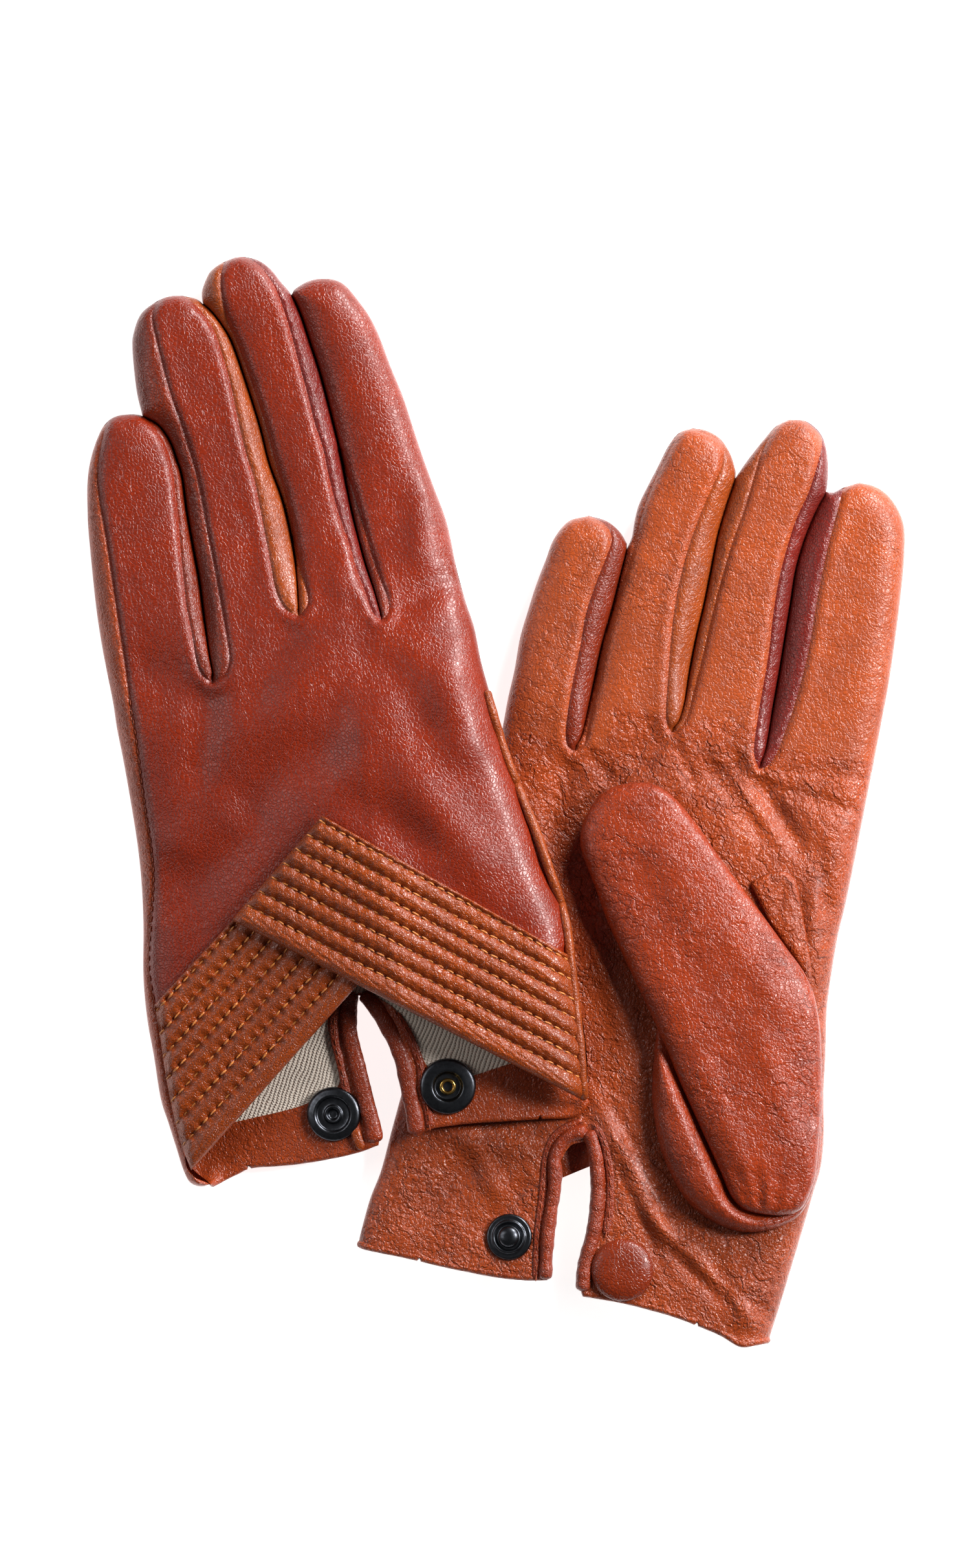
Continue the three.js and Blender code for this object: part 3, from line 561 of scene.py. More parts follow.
grainGroup = leatherGrain()
leathers = {
    "Back nappa": {"Leather color": (0.250, 0.019, 0.003), "Grain depth": 0.053, "Crease size": 7.0,
                   "Crease depth": 0.02,
                   "Wrinkle depth": 0.25, "Wrinkle turn": -0.9, "Gloss": 0.27},
    "Palm nappa": {"Leather color": (0.370, 0.055, 0.010), "Grain depth": 0.055, "Crease size": 4.6,
                   "Crease depth": 0.17,
                   "Wrinkle depth": 1.2, "Wrinkle turn": 1.0, "Gloss": 0.24},
    "Finger front nappa": {"Leather color": (0.400, 0.066, 0.013), "Grain depth": 0.056, "Crease size": 4.2,
                           "Crease depth": 0.09, "Wrinkle depth": 0.35, "Wrinkle turn": 0.1, "Gloss": 0.27},
    "Thumb nappa": {"Leather color": (0.330, 0.036, 0.006), "Grain depth": 0.056, "Crease size": 4.6,
                    "Crease depth": 0.12,
                    "Wrinkle depth": 0.5, "Wrinkle turn": 0.5, "Gloss": 0.25},
    "Tan fourchette": {"Leather color": (0.330, 0.056, 0.007), "Grain depth": 0.056, "Crease size": 4.0,
                       "Crease depth": 0.05, "Wrinkle depth": 0.4, "Wrinkle turn": 1.7, "Gloss": 0.27},
    "Russet fourchette": {"Leather color": (0.210, 0.020, 0.004), "Grain depth": 0.056, "Crease size": 4.0,
                          "Crease depth": 0.05, "Wrinkle depth": 0.4, "Wrinkle turn": 1.7, "Gloss": 0.27},
    "Plum fourchette": {"Leather color": (0.180, 0.013, 0.008), "Grain depth": 0.056, "Crease size": 4.0,
                        "Crease depth": 0.05, "Wrinkle depth": 0.4, "Wrinkle turn": 1.7, "Gloss": 0.29},
    "Quilted nappa": {"Leather color": (0.320, 0.050, 0.005), "Grain depth": 0.068, "Grain size": 0.7,
                      "Crease size": 3.0,
                      "Crease depth": 0.03, "Wrinkle depth": 0.2, "Wrinkle turn": -0.5, "Gloss": 0.23},
    "Hem nappa": {"Leather color": (0.380, 0.052, 0.008), "Grain depth": 0.064, "Crease size": 4.5,
                  "Crease depth": 0.09,
                  "Wrinkle depth": 0.5, "Wrinkle turn": 1.2, "Gloss": 0.26},
    "Button nappa": {"Leather color": (0.240, 0.025, 0.004), "Grain depth": 0.056, "Crease size": 9.0,
                     "Crease depth": 0.01,
                     "Wrinkle depth": 0.05, "Wrinkle turn": 0.2, "Gloss": 0.24},
    "Seam thread": {"Leather color": (0.380, 0.060, 0.012), "Grain depth": 0.015, "Grain size": 0.3,
                    "Crease size": 1.0,
                    "Crease depth": 0.01, "Wrinkle depth": 0.05, "Wrinkle turn": 0.2, "Gloss": 0.41},
    "Binding nappa": {"Leather color": (0.300, 0.034, 0.006), "Grain depth": 0.068, "Grain size": 0.7,
                      "Crease size": 2.6,
                      "Crease depth": 0.08, "Wrinkle depth": 0.35, "Wrinkle turn": 0.2, "Gloss": 0.27},
}


def leather(name):
    material = bpy.data.materials.new(name)
    material.use_nodes = True
    tree = material.node_tree
    shader = tree.nodes["Principled BSDF"]
    values = {"Grain size": 0.85, **leathers[name]}
    tint = np.array(values.pop("Leather color"))
    # The dark colour serves both the dye's darker tone and painted shade in creases and grooves; the paler
    # colour is a painted highlight for the grain tops
    values = {**values, "Leather color": (*tint, 1), "Dark tone and painted shade color": (*(tint * (0.34, 0.28, 0.3)), 1),
              "Painted highlight color": (*np.minimum(tint * 1.25 + (0.05, 0.016, 0.006), 1), 1)}
    surface = tree.nodes.new("ShaderNodeGroup")
    surface.node_tree = grainGroup
    for key, value in values.items():
        surface.inputs[key].default_value = value
    bump = node(tree, "Bump", {"Height": surface.outputs["Height"], "Distance": mm, "Strength": 1.0})
    tree.links.new(surface.outputs["Color"], shader.inputs["Base Color"])
    tree.links.new(surface.outputs["Roughness"], shader.inputs["Roughness"])
    tree.links.new(bump.outputs["Normal"], shader.inputs["Normal"])
    shader.inputs["Specular IOR Level"].default_value = 0.5
    shader.inputs["Coat Weight"].default_value = 0.06
    shader.inputs["Coat Roughness"].default_value = 0.2
    return material


def knitMaterial():
    # A fine rib knit: columns of stitches a little under a millimetre apart, darker down between the stitches
    # as painted shade
    material = bpy.data.materials.new("Knit lining")
    material.use_nodes = True
    tree = material.node_tree
    shader = tree.nodes["Principled BSDF"]
    place = node(tree, "TexCoord").outputs["Object"]
    spot = node(tree, "Mapping", {"Vector": place, "Rotation": (0, 0, 0.33),
                                  "Scale": (1000, 1000, 1000)}).outputs[0]
    drift = node(tree, "TexNoise", {"Vector": spot, "Scale": 0.15, "Detail": 2.0}).outputs["Color"]
    spot = node(tree, "VectorMath", {0: drift, 1: (1.5, 1.5, 0), 2: spot},
                operation="MULTIPLY_ADD").outputs["Vector"]
    axes = node(tree, "SeparateXYZ", {"Vector": spot})
    column = calc(tree, "ABSOLUTE", calc(tree, "SINE",
                                         calc(tree, "MULTIPLY", axes.outputs["X"], math.pi / 0.95)))
    lean = calc(tree, "MULTIPLY_ADD", column, 0.35, axes.outputs["Y"])
    row = calc(tree, "ABSOLUTE", calc(tree, "SINE", calc(tree, "MULTIPLY", lean, math.pi / 0.62)))
    height = calc(tree, "MULTIPLY_ADD", row, 0.5, column)
    fuzz = node(tree, "TexNoise", {"Vector": spot, "Scale": 3.0, "Detail": 3.0}).outputs["Fac"]
    height = calc(tree, "MULTIPLY_ADD", fuzz, 0.5, height)
    # Painted shade: the colour follows the stitch height, so the low places between stitches are darker
    color = blendColor(tree, stepped(tree, height, 0.3, 1.5), (0.36, 0.26, 0.19), (0.92, 0.80, 0.68))
    tree.links.new(color, shader.inputs["Base Color"])
    bump = node(tree, "Bump", {"Height": height, "Distance": 0.00018, "Strength": 1.0})
    tree.links.new(bump.outputs["Normal"], shader.inputs["Normal"])
    shader.inputs["Roughness"].default_value = 0.78
    shader.inputs["Sheen Weight"].default_value = 0.25
    return material


def metalMaterial(name, color, rough):
    material = bpy.data.materials.new(name)
    material.use_nodes = True
    tree = material.node_tree
    shader = tree.nodes["Principled BSDF"]
    place = node(tree, "TexCoord").outputs["Object"]
    cloud = node(tree, "TexNoise", {"Vector": place, "Scale": 900.0, "Detail": 4.0}).outputs["Fac"]
    streak = node(tree, "Mapping", {"Vector": place, "Rotation": (0, 0, 0.7),
                                    "Scale": (9000, 700, 3000)}).outputs[0]
    scratch = node(tree, "TexNoise", {"Vector": streak, "Scale": 1.0, "Detail": 2.0}).outputs["Fac"]
    tint = blendColor(tree, stepped(tree, cloud, 0.35, 0.7), color, tuple(0.55 * c for c in color))
    tree.links.new(tint, shader.inputs["Base Color"])
    tree.links.new(calc(tree, "MULTIPLY_ADD", cloud, 0.16, rough - 0.06), shader.inputs["Roughness"])
    bump = node(tree, "Bump", {"Height": scratch, "Distance": 0.000012, "Strength": 1.0})
    tree.links.new(bump.outputs["Normal"], shader.inputs["Normal"])
    shader.inputs["Metallic"].default_value = 1.0
    return material


def threadMaterial():
    material = bpy.data.materials.new("Golden thread")
    material.use_nodes = True
    tree = material.node_tree
    shader = tree.nodes["Principled BSDF"]
    place = node(tree, "TexCoord").outputs["Object"]
    turned = node(tree, "Mapping", {"Vector": place, "Rotation": (0, 0, 0.9)}).outputs[0]
    twist = node(tree, "TexWave", {"Vector": turned, "Scale": 900.0, "Distortion": 1.0}).outputs["Fac"]
    fuzz = node(tree, "TexNoise", {"Vector": place, "Scale": 2500.0, "Detail": 2.0}).outputs["Fac"]
    color = blendColor(tree, stepped(tree, fuzz, 0.3, 0.7), (0.48, 0.13, 0.02), (0.72, 0.26, 0.05))
    tree.links.new(color, shader.inputs["Base Color"])
    bump = node(tree, "Bump", {"Height": twist, "Distance": 0.00005, "Strength": 0.8})
    tree.links.new(bump.outputs["Normal"], shader.inputs["Normal"])
    shader.inputs["Roughness"].default_value = 0.45
    shader.inputs["Sheen Weight"].default_value = 0.2
    return material


skins = {name: leather(name) for name in leathers if name != "Seam thread"}
knit = knitMaterial()
gunmetal = metalMaterial("Gunmetal", (0.10, 0.105, 0.12), 0.30)
brass = metalMaterial("Brass", (0.75, 0.45, 0.12), 0.25)
thread = threadMaterial()
print("materials done")


# Panels

# Across and along the hand: the vent's top, and the hem ends of the cap's and the stud's fold lines
flapLines = {
    "left": ((0, 39.5), (44, -0.5), (-34.5, -0.5)),
    "right": ((-4, 40), (34.5, -0.5), (-34.5, -0.5)),
}


def knuckleCut(glove, finger, left, right):
    # The knuckle line's stretch between a finger's two lines, with its ends on them
    knuckle, along = fingerAxis(glove.side, finger)
    ends = []
    for line in (left, right):
        ahead = np.abs((line - knuckle) @ along) + 0.001 * np.linalg.norm(line - knuckle, axis=1)
        ends.append(line[ahead.argmin()])
    count = max(2, int(np.linalg.norm(ends[1] - ends[0]) / 0.9))
    return np.array([mixed(ends[0], ends[1], k / count) for k in range(count + 1)])


def knuckleCuts(glove, ulnar):
    lines = glove.lines
    cuts = []
    for finger, uses in fingers.items():
        left = lines[uses["seams"][0]] if uses["seams"][0] else lines[ulnar]
        right = lines[uses["seams"][1]] if uses["seams"][1] else lines["radialOut"]
        cuts.append(knuckleCut(glove, finger, left, right))
    return cuts


def flapCuts(side):
    top, *ends = toRow(side, flapLines[side])
    return [top + (end - top) * np.linspace(0.01, 1.02, 60)[:, None] for end in ends]


def ownerOf(side, centres, flaps=False):
    # The body that each place belongs to: a finger past its knuckle line, a flap past its fold, or the hand
    owner = np.full(len(centres), "hand", dtype=object)
    best = np.full(len(centres), 1e9)
    for finger in fingers:
        knuckle, along = fingerAxis(side, finger)
        offset = centres - knuckle
        ahead = offset @ along
        aside = np.abs(offset @ np.array([along[1], -along[0]]))
        mine = (ahead > 0) & (aside < best) & (aside < 16)
        owner[mine] = finger
        best[mine] = aside[mine]
    if flaps:
        hand = toHand(side, centres)
        (topX, topY), cap, stud = flapLines[side]
        middle = topX * np.clip(hand[:, 1] / topY, 0, 1)
        for name, (endX, endY), way in (("cap_flap", cap, 1), ("stud_flap", stud, -1)):
            fold = topY + (endY - topY) * (hand[:, 0] - topX) / (endX - topX)
            owner[(hand[:, 1] < fold) & ((hand[:, 0] - middle) * way > 0)] = name
    return owner


def onFinger(piece):
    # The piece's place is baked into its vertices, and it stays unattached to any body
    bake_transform(piece)


def settled(piece, side, body, replaced=None):
    if body in fingers:
        onFinger(piece)
    else:
        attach(piece, f"{side}_{body}")
    if replaced:
        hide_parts(f"{side}_{replaced}")
    return piece


def dealt(name, side, points, faces, owner, material, nodeOf):
    # One surface as a piece for each body it crosses, with the whole surface's normals
    normals = vertexNormals(points, faces)
    pieces = {}
    for body in sorted(set(owner)):
        vertices, corners, directions = part(points, faces, owner == body, normals)
        look = material(body) if callable(material) else material
        piece = built(f"{name}_{body}", vertices, corners, look, directions)
        replaced, slot = nodeOf(body)
        pieces[body] = settled(piece, side, body, replaced)
    return pieces


def panel(glove, name, loop, material, upper, nodeOf, cuts, flaps=False, spacing=1.25, offset=0.0,
          rings=(0.3, 0.8, 1.6, 2.6), facing=False):
    # facing turns the surface over, as an inner side that follows the outer one
    plan, faces = filled(loop, spacing, rings, cuts)
    faces = facingUp(plan, faces, upper != facing)
    points = np.column_stack([plan, glove.height(plan, upper) + offset])
    return dealt(name, glove.side, points, faces, ownerOf(glove.side, plan[faces].mean(1), flaps), material,
                 nodeOf)


def wall(glove, name, loop, finger, material, replaced):
    # A fourchette: its upper and lower halves meet at the finger's side
    plan, faces = filled(loop, 1.2, (0.3, 0.8))
    faces = facingUp(plan, faces, True)
    points = np.vstack([np.column_stack([plan, glove.height(plan, up)]) for up in (True, False)])
    both = np.vstack([faces, faces[:, ::-1] + len(plan)])
    knuckle, along = fingerAxis(glove.side, finger)
    ahead = ((points[both].mean(1)[:, :2] - knuckle) @ along) > 0
    owner = np.where(ahead, finger, "hand").astype(object)
    dealt(name, glove.side, points, both, owner, material,
          lambda body: (replaced, None) if body == finger else (None, replaced))


def fourchettes(glove, materials):
    lines = glove.lines
    side = glove.side
    gap = {"ring": stretch(lines["littleRight"], lines["littleRight"][-1], lines["ringLeftOut"][0]),
           "middle": stretch(lines["ringRight"], lines["ringRight"][-1], lines["middleLeftOut"][0])}
    tips = {"ring": stretch(lines["ringLeftOut"], lines["ringLeftOut"][0], lines["ringSeamLeft"][0]),
            "middle": stretch(lines["middleLeftOut"], lines["middleLeftOut"][0], lines["middleSeamLeft"][0])}
    if side == "left":
        indexLoop = joined(lines["indexSeam"],
                           stretch(lines["middleRight"], lines["middleRight"][-1], lines["indexSeam"][0]))
    else:
        indexLoop = joined(lines["indexSeam"],
                           stretch(lines["middleRight"], lines["middleRight"][-1], lines["indexLeftOut"][0]),
                           stretch(lines["indexLeftOut"], lines["indexLeftOut"][0], lines["indexSeam"][0]))
    middleEdge = stretch(lines["middleRight"], lines["middleSeamRight"][0], lines["middleRight"][-1])
    loops = {
        ("little", "radial"): joined(lines["littleSeam"][::-1], lines["littleRight"]),
        ("ring", "ulnar"): joined(lines["ringSeamLeft"], gap["ring"], tips["ring"]),
        ("ring", "radial"): joined(lines["ringSeamRight"][::-1], lines["ringRight"]),
        ("middle", "ulnar"): joined(lines["middleSeamLeft"], gap["middle"], tips["middle"]),
        ("middle", "radial"): joined(lines["middleSeamRight"][::-1], middleEdge),
        ("index", "ulnar"): indexLoop,
    }
    for (finger, which), loop in loops.items():
        wall(glove, f"{side}_{finger}_wall_{which}", loop, finger, skins[materials[finger, which]],
             f"{finger}_fourchette_{which}")


gloves = {side: Glove(side) for side in ("left", "right")}
left, right = gloves["left"], gloves["right"]
leftLines, rightLines = left.lines, right.lines

# Broad folds of each glove: from, to, width and height
left.folds = [
    ((-27, 41), (-46, 4), 7.5, -2.0), ((-46, 14), (-78, -26), 8.0, -1.7), ((-88, 34), (-66, 22), 6.0, -1.2),
    ((-27, 43), (-8, 54), 3.6, -1.6), ((-18, 54), (-16, 78), 4.5, 1.2), ((-38, 48), (-33, 64), 4.0, 1.0),
    ((-47, 43), (-60, 20), 4.5, -1.1), ((-67, 27), (-72, 2), 4.5, -1.1), ((-12, 34), (-6, 8), 6.0, 1.5),
    ((-24, 10), (0, -20), 6.0, 1.5), ((-60, -2), (-78, -14), 6.0, 1.2), ((-12, -24), (8, -34), 4.0, -1.0),
    ((-26, 34), (-14, 12), 5.0, -1.1), ((-60, 50), (-57, 66), 3.0, -0.3), ((-36, 2), (-14, -14), 5.0, -1.0),
]
right.folds = [
    ((40, 20), (24, -2), 3.4, -1.20), ((60, 8), (46, 4), 3.0, -1.05), ((62, 6), (74, -14), 2.6, -1.65),
    ((48, 12), (66, -12), 2.2, -1.05), ((54, 14), (70, -8), 1.8, -0.75), ((64, 4), (88, -4), 1.7, -0.75),
    ((66, 7), (86, 6), 1.4, -0.52), ((76, -8), (80, -30), 1.8, -0.75), ((18, 11), (12, -10), 3.0, -1.05),
    ((21, 12), (28, 4), 1.4, -0.75), ((41, 16), (48, 2), 1.5, -0.90), ((42, 17), (34, 6), 1.5, -0.75),
    ((24, -76), (42, -108), 2.6, 1.20), ((27, -72), (46, -108), 1.6, -0.90),
    ((20, -66), (37, -92), 2.2, 0.90),
    ((28, -84), (40, -112), 1.5, -0.90), ((36, -97), (54, -116), 2.0, 1.05),
    ((38, -104), (56, -121), 1.5, -0.90),
    ((22, -30), (34, -58), 2.8, 1.35), ((20, -22), (36, -64), 1.6, -0.75), ((10, -84), (-16, -78), 3.2, 1.05),
    ((8, -90), (-4, -104), 2.4, -0.90), ((-2, -84), (-20, -100), 3.0, -0.90),
    ((-8, -78), (2, -96), 2.4, 0.90),
    ((57, -114), (60, -126), 3.0, 1.20), ((50, -110), (66, -124), 1.8, -0.75),
    ((75, -40), (76, -20), 1.5, 1.05),
]

# The left glove's bands in millimetres on the table; the right ones match them across and along the hand
bandEdges = {
    "upperTop": [(-41.3, -3.8), (-29.5, -10.1), (-17.3, -17.4), (-5.1, -24.2), (0, -27.7), (6.4, -31.6),
                 (15.3, -36)],
    "upperEnd": [(-41.3, -3.8), (-52, -16.2), (-62.8, -28.7)],
    "lowerTop": [(-62.8, -28.7), (-68.8, -35), (-74.6, -40.8), (-79.4, -46.2), (-80.7, -50)],
}


def tuckedUnder(name):
    # The back's lower edge, a little way under the band's edge
    inward = {"upperTop": (-1.0, -1.74), "upperEnd": (1.5, -1.3), "lowerTop": (1.5, -1.3)}[name]
    return np.array(bandEdges[name]) + inward


def onOther(points):
    # Places on the left glove as the matching places on the right one
    return toRow("right", toHand("left", np.array(points, float)))


def fingerEdge(lines, ulnar):
    # The outline of a face's four fingers between their seams, from the little finger to the index
    side = "left" if lines is leftLines else "right"
    index = [stretch(lines["middleRight"], lines["indexSeam"][0],
                     lines["indexLeftOut"][0])] if side == "left" else []
    tipStart = {"left": (lines["ringLeftOut"], (-80.4, 118.6)),
                "right": (lines["ringLeftOut"], (43.6, 87.2))}[side]
    middleTip = {"left": (-64.5, 127.9), "right": (66.7, 88.8)}[side]
    indexTip = {"left": lines["indexLeftOut"][0], "right": (82.7, 74.2)}[side]
    middleOver = [stretch(lines["middleRight"], lines["middleRight"][0],
                          lines["middleSeamRight"][0])] if side == "right" else []
    return [
        *ulnar, lines["littleSeam"], lines["ringSeamLeft"][::-1],
        stretch(tipStart[0], tipStart[1], tipStart[0][-1]),
        lines["ringSeamRight"], lines["middleSeamLeft"][::-1],
        stretch(lines["middleLeftOut"], middleTip, lines["middleLeftOut"][-1]), *middleOver,
        lines["middleSeamRight"],
        lines["indexSeam"][::-1], *index, stretch(lines["indexLeftOut"], indexTip, lines["indexLeftOut"][-1]),
    ]


# Left glove: back, with the palm's leather wrapped round its outer edge
leftUlnar = [stretch(leftLines["ulnarSeam"], (-80.7, -50), (-92.6, 89.6)),
             stretch(leftLines["ulnarOut"], (-92.6, 89.6), (-84, 91.2))]
backLoop = joined(*fingerEdge(leftLines, leftUlnar),
                  stretch(leftLines["radialOut"], (-40, 123.9), (18.4, -36)),
                  drawn(tuckedUnder("upperTop")[::-1]), drawn(tuckedUnder("upperEnd")[1:]),
                  drawn(tuckedUnder("lowerTop")[1:-1]))
panel(left, "left_back", backLoop, skins["Back nappa"], True,
      lambda body: ("back_panel" if body == "hand" else f"{body}_back", None), knuckleCuts(left, "ulnarSeam"))

wrapLoop = joined(stretch(leftLines["ulnarOut"], (-67.9, -91.4), (-92.6, 89.6)), leftLines["ulnarSeam"][::-1])
littleKnuckle = knuckleCut(left, "little", leftLines["ulnarOut"], leftLines["ulnarSeam"])
panel(left, "left_wrap", wrapLoop, skins["Hem nappa"], True,
      lambda body: (None, "palm_panel" if body == "hand" else "little_front"), [littleKnuckle],
      rings=(0.3, 0.8))
fourchettes(left, {("little", "radial"): "Russet fourchette", ("ring", "ulnar"): "Russet fourchette",
                   ("ring", "radial"): "Tan fourchette", ("middle", "ulnar"): "Tan fourchette",
                   ("middle", "radial"): "Plum fourchette", ("index", "ulnar"): "Russet fourchette"})

# Its palm, seen from below and inside the cuff
cuffs = {
    "left": {
        "hemCap": [(21.7, -71), (18.9, -74.5), (10, -75.1), (0, -75.7), (-7, -76.2), (-15.3, -77.4),
                   (-19.6, -79.6)],
        "ventCap": [(-19.6, -79.6), (-21, -75.7), (-22, -71.6), (-22.6, -68), (-23.8, -62.7), (-25.6, -58),
                    (-28, -52.7),
                    (-30.6, -48), (-32.4, -46.6)],
        "ventStud": [(-33.4, -46.6), (-33.4, -50.9), (-33.3, -54.4), (-31.9, -59.7), (-30.4, -65.6),
                     (-28.6, -72.7),
                     (-27.2, -78.6), (-27.8, -81.2)],
        "hemStud": [(-27.8, -81.2), (-33.8, -83.3), (-42.4, -85.1), (-50, -86.1), (-58.3, -86.8),
                    (-62.4, -88.6),
                    (-67.9, -91.4)],
    },
    "right": {
        "hemCap": [(65, -128.4), (61, -129.1), (58.1, -129.2), (53.6, -126.6), (43.7, -122.6), (35.2, -120.1),
                   (28.1, -118.5), (20.4, -117.2)],
        "ventCap": [(20.4, -117.2), (19.4, -111.1), (20.2, -107.9), (21.2, -104), (22.3, -99.1),
                    (22.7, -94.5),
                    (22.9, -89.9), (23, -86.5), (22.8, -83), (22.2, -81.2)],
        "ventStud": [(22.2, -81.2), (19.6, -81.6), (17.9, -82.2), (16.3, -84.3), (15.2, -86.7), (15.4, -90.6),
                     (14.9, -95.2), (14.3, -99.1), (13.6, -103.3), (13.2, -108.6), (12.6, -113.4)],
        "hemStud": [(12.6, -113.4), (6.9, -113.5), (0, -112.7), (-10, -110.8), (-19, -108.7), (-29.9, -106.4),
                    (-32.6, -105.5)],
    },
}


def cuffEdge(side):
    return [drawn(cuffs[side][name]) for name in ("hemCap", "ventCap", "ventStud", "hemStud")]


def palmNode(body):
    return ("palm_panel" if body == "hand" else body if "flap" in body else f"{body}_front", None)


leftPalm = joined(*fingerEdge(leftLines, [stretch(leftLines["ulnarOut"], (-67.9, -91.4), (-84, 91.2))]),
                  stretch(leftLines["radialOut"], (-40, 123.9), (21.7, -69)), *cuffEdge("left"))
panel(left, "left_palm", leftPalm, skins["Palm nappa"], False, palmNode,
      knuckleCuts(left, "ulnarOut") + flapCuts("left"), flaps=True, spacing=1.6, rings=(0.4, 1.2))
print("left shell done")

# Right glove: palm up
rightUlnar = [stretch(rightLines["ulnarOut"], (-32.6, -105.5), (22.1, 67.5))]
rightPalm = joined(*fingerEdge(rightLines, rightUlnar),
                   stretch(rightLines["radialOut"], (86.5, 75.4), (65, -128.4)), *cuffEdge("right"))
panel(right, "right_palm", rightPalm,
      lambda body: skins["Finger front nappa" if body in fingers else "Palm nappa"], True, palmNode,
      knuckleCuts(right, "ulnarOut") + flapCuts("right"), flaps=True)
fourchettes(right, {("little", "radial"): "Russet fourchette", ("ring", "ulnar"): "Palm nappa",
                    ("ring", "radial"): "Tan fourchette", ("middle", "ulnar"): "Tan fourchette",
                    ("middle", "radial"): "Plum fourchette", ("index", "ulnar"): "Plum fourchette"})
rightTop = drawn(onOther(tuckedUnder("upperTop")))
rightEnd = drawn(onOther(tuckedUnder("upperEnd")[1:]))
rightLower = drawn(onOther(tuckedUnder("lowerTop")[1:]))
radialEnd = stretch(rightLines["radialOut"], (86.5, 75.4), rightTop[-1])
ulnarStart = stretch(rightLines["ulnarOut"], rightLower[-1], (22.1, 67.5))
rightBack = joined(*fingerEdge(rightLines, [ulnarStart]), radialEnd, rightTop[::-1], rightEnd, rightLower)
panel(right, "right_back", rightBack, skins["Back nappa"], False,
      lambda body: ("back_panel" if body == "hand" else f"{body}_back", None), knuckleCuts(right, "ulnarOut"),
      spacing=1.6, rings=(0.4, 1.2))
print("right shell done")


# Closed pieces

def closedGrid(top, under):
    # A closed body from a grid of upper points and the matching grid of lower ones
    rows, columns = top.shape[:2]
    points = np.vstack([top.reshape(-1, 3), under.reshape(-1, 3)])
    index = np.arange(rows * columns).reshape(rows, columns)
    low = index + rows * columns
    quads = [np.stack([index[:-1, :-1], index[:-1, 1:], index[1:, 1:], index[1:, :-1]], -1).reshape(-1, 4),
             np.stack([low[:-1, :-1], low[1:, :-1], low[1:, 1:], low[:-1, 1:]], -1).reshape(-1, 4)]
    rim = np.concatenate([index[0, :-1], index[:-1, -1], index[-1, :0:-1], index[:0:-1, 0]])
    quads.append(np.stack([rim, rim + rows * columns, np.roll(rim, -1) + rows * columns, np.roll(rim, -1)],
                          1))
    quads = np.vstack(quads)
    return points, outwards(points, np.vstack([quads[:, [0, 1, 2]], quads[:, [0, 2, 3]]]))


def outwards(points, faces):
    a, b, c = (points[faces[:, k]] for k in range(3))
    return faces if np.einsum("ij,ij->i", a, np.cross(b, c)).sum() > 0 else faces[:, ::-1]


def ripple(values, seed):
    # A smooth uneven wave between -1 and 1 along a length in millimetres
    rng = np.random.default_rng(seed)
    return sum(np.sin(values * rate + rng.uniform(0, 6.3)) * share for rate,
               share in ((0.45, 0.45), (1.1, 0.35), (2.3, 0.2)))


def tube(path, radius, flat=1.0, sides=16, taper=None, wrinkle=0.0, seed=1):
    # A closed roll along a path in space, rounded at both ends
    path = np.asarray(path, float)
    tangent = np.gradient(path, axis=0)
    tangent /= np.linalg.norm(tangent, axis=1)[:, None]
    aside = np.cross(tangent, (0, 0, 1.0))
    aside /= np.linalg.norm(aside, axis=1)[:, None]
    lift = np.cross(aside, tangent)
    reach = np.concatenate([[0], np.cumsum(np.linalg.norm(np.diff(path, axis=0), axis=1))])
    fromEnd = np.minimum(reach, reach[-1] - reach) / (taper or radius)
    narrow = np.sqrt(1 - (1 - np.clip(fromEnd, 0.02, 1)) ** 2)
    angle = np.arange(sides) / sides * 2 * math.pi
    bulge = 1 + wrinkle * (ripple(reach, seed)[:, None] + 0.5
                           * ripple(reach[:, None] + 3 * np.sin(angle), seed + 1))
    r = radius * narrow[:, None] * bulge
    rings = (path[:, None] + aside[:, None] * (np.cos(angle) * r)[..., None]
             + lift[:, None] * (np.sin(angle) * r * flat)[..., None])
    count = len(path)
    points = np.vstack([rings.reshape(-1, 3), path[0], path[-1]])
    ring = np.arange(count * sides).reshape(count, sides)
    after = np.roll(ring, -1, 1)
    sideFaces = np.stack([ring[:-1], after[:-1], after[1:], ring[1:]], -1).reshape(-1, 4)
    faces = np.vstack([sideFaces[:, [0, 1, 2]], sideFaces[:, [0, 2, 3]],
                       np.stack([after[0], ring[0], np.full(sides, count * sides)], 1),
                       np.stack([ring[-1], after[-1], np.full(sides, count * sides + 1)], 1)])
    return points, outwards(points, faces)


def ranAlong(plan, level, step=0.45):
    # A plan line drawn smoothly, with a height given for each place
    line = drawn(plan, step)
    return np.column_stack([line, level(line)])


def solid(name, shape, material, side, body, replaced=None):
    points, faces = shape
    piece = built(name, points, faces, material, vertexNormals(points, faces))
    return settled(piece, side, body, replaced)


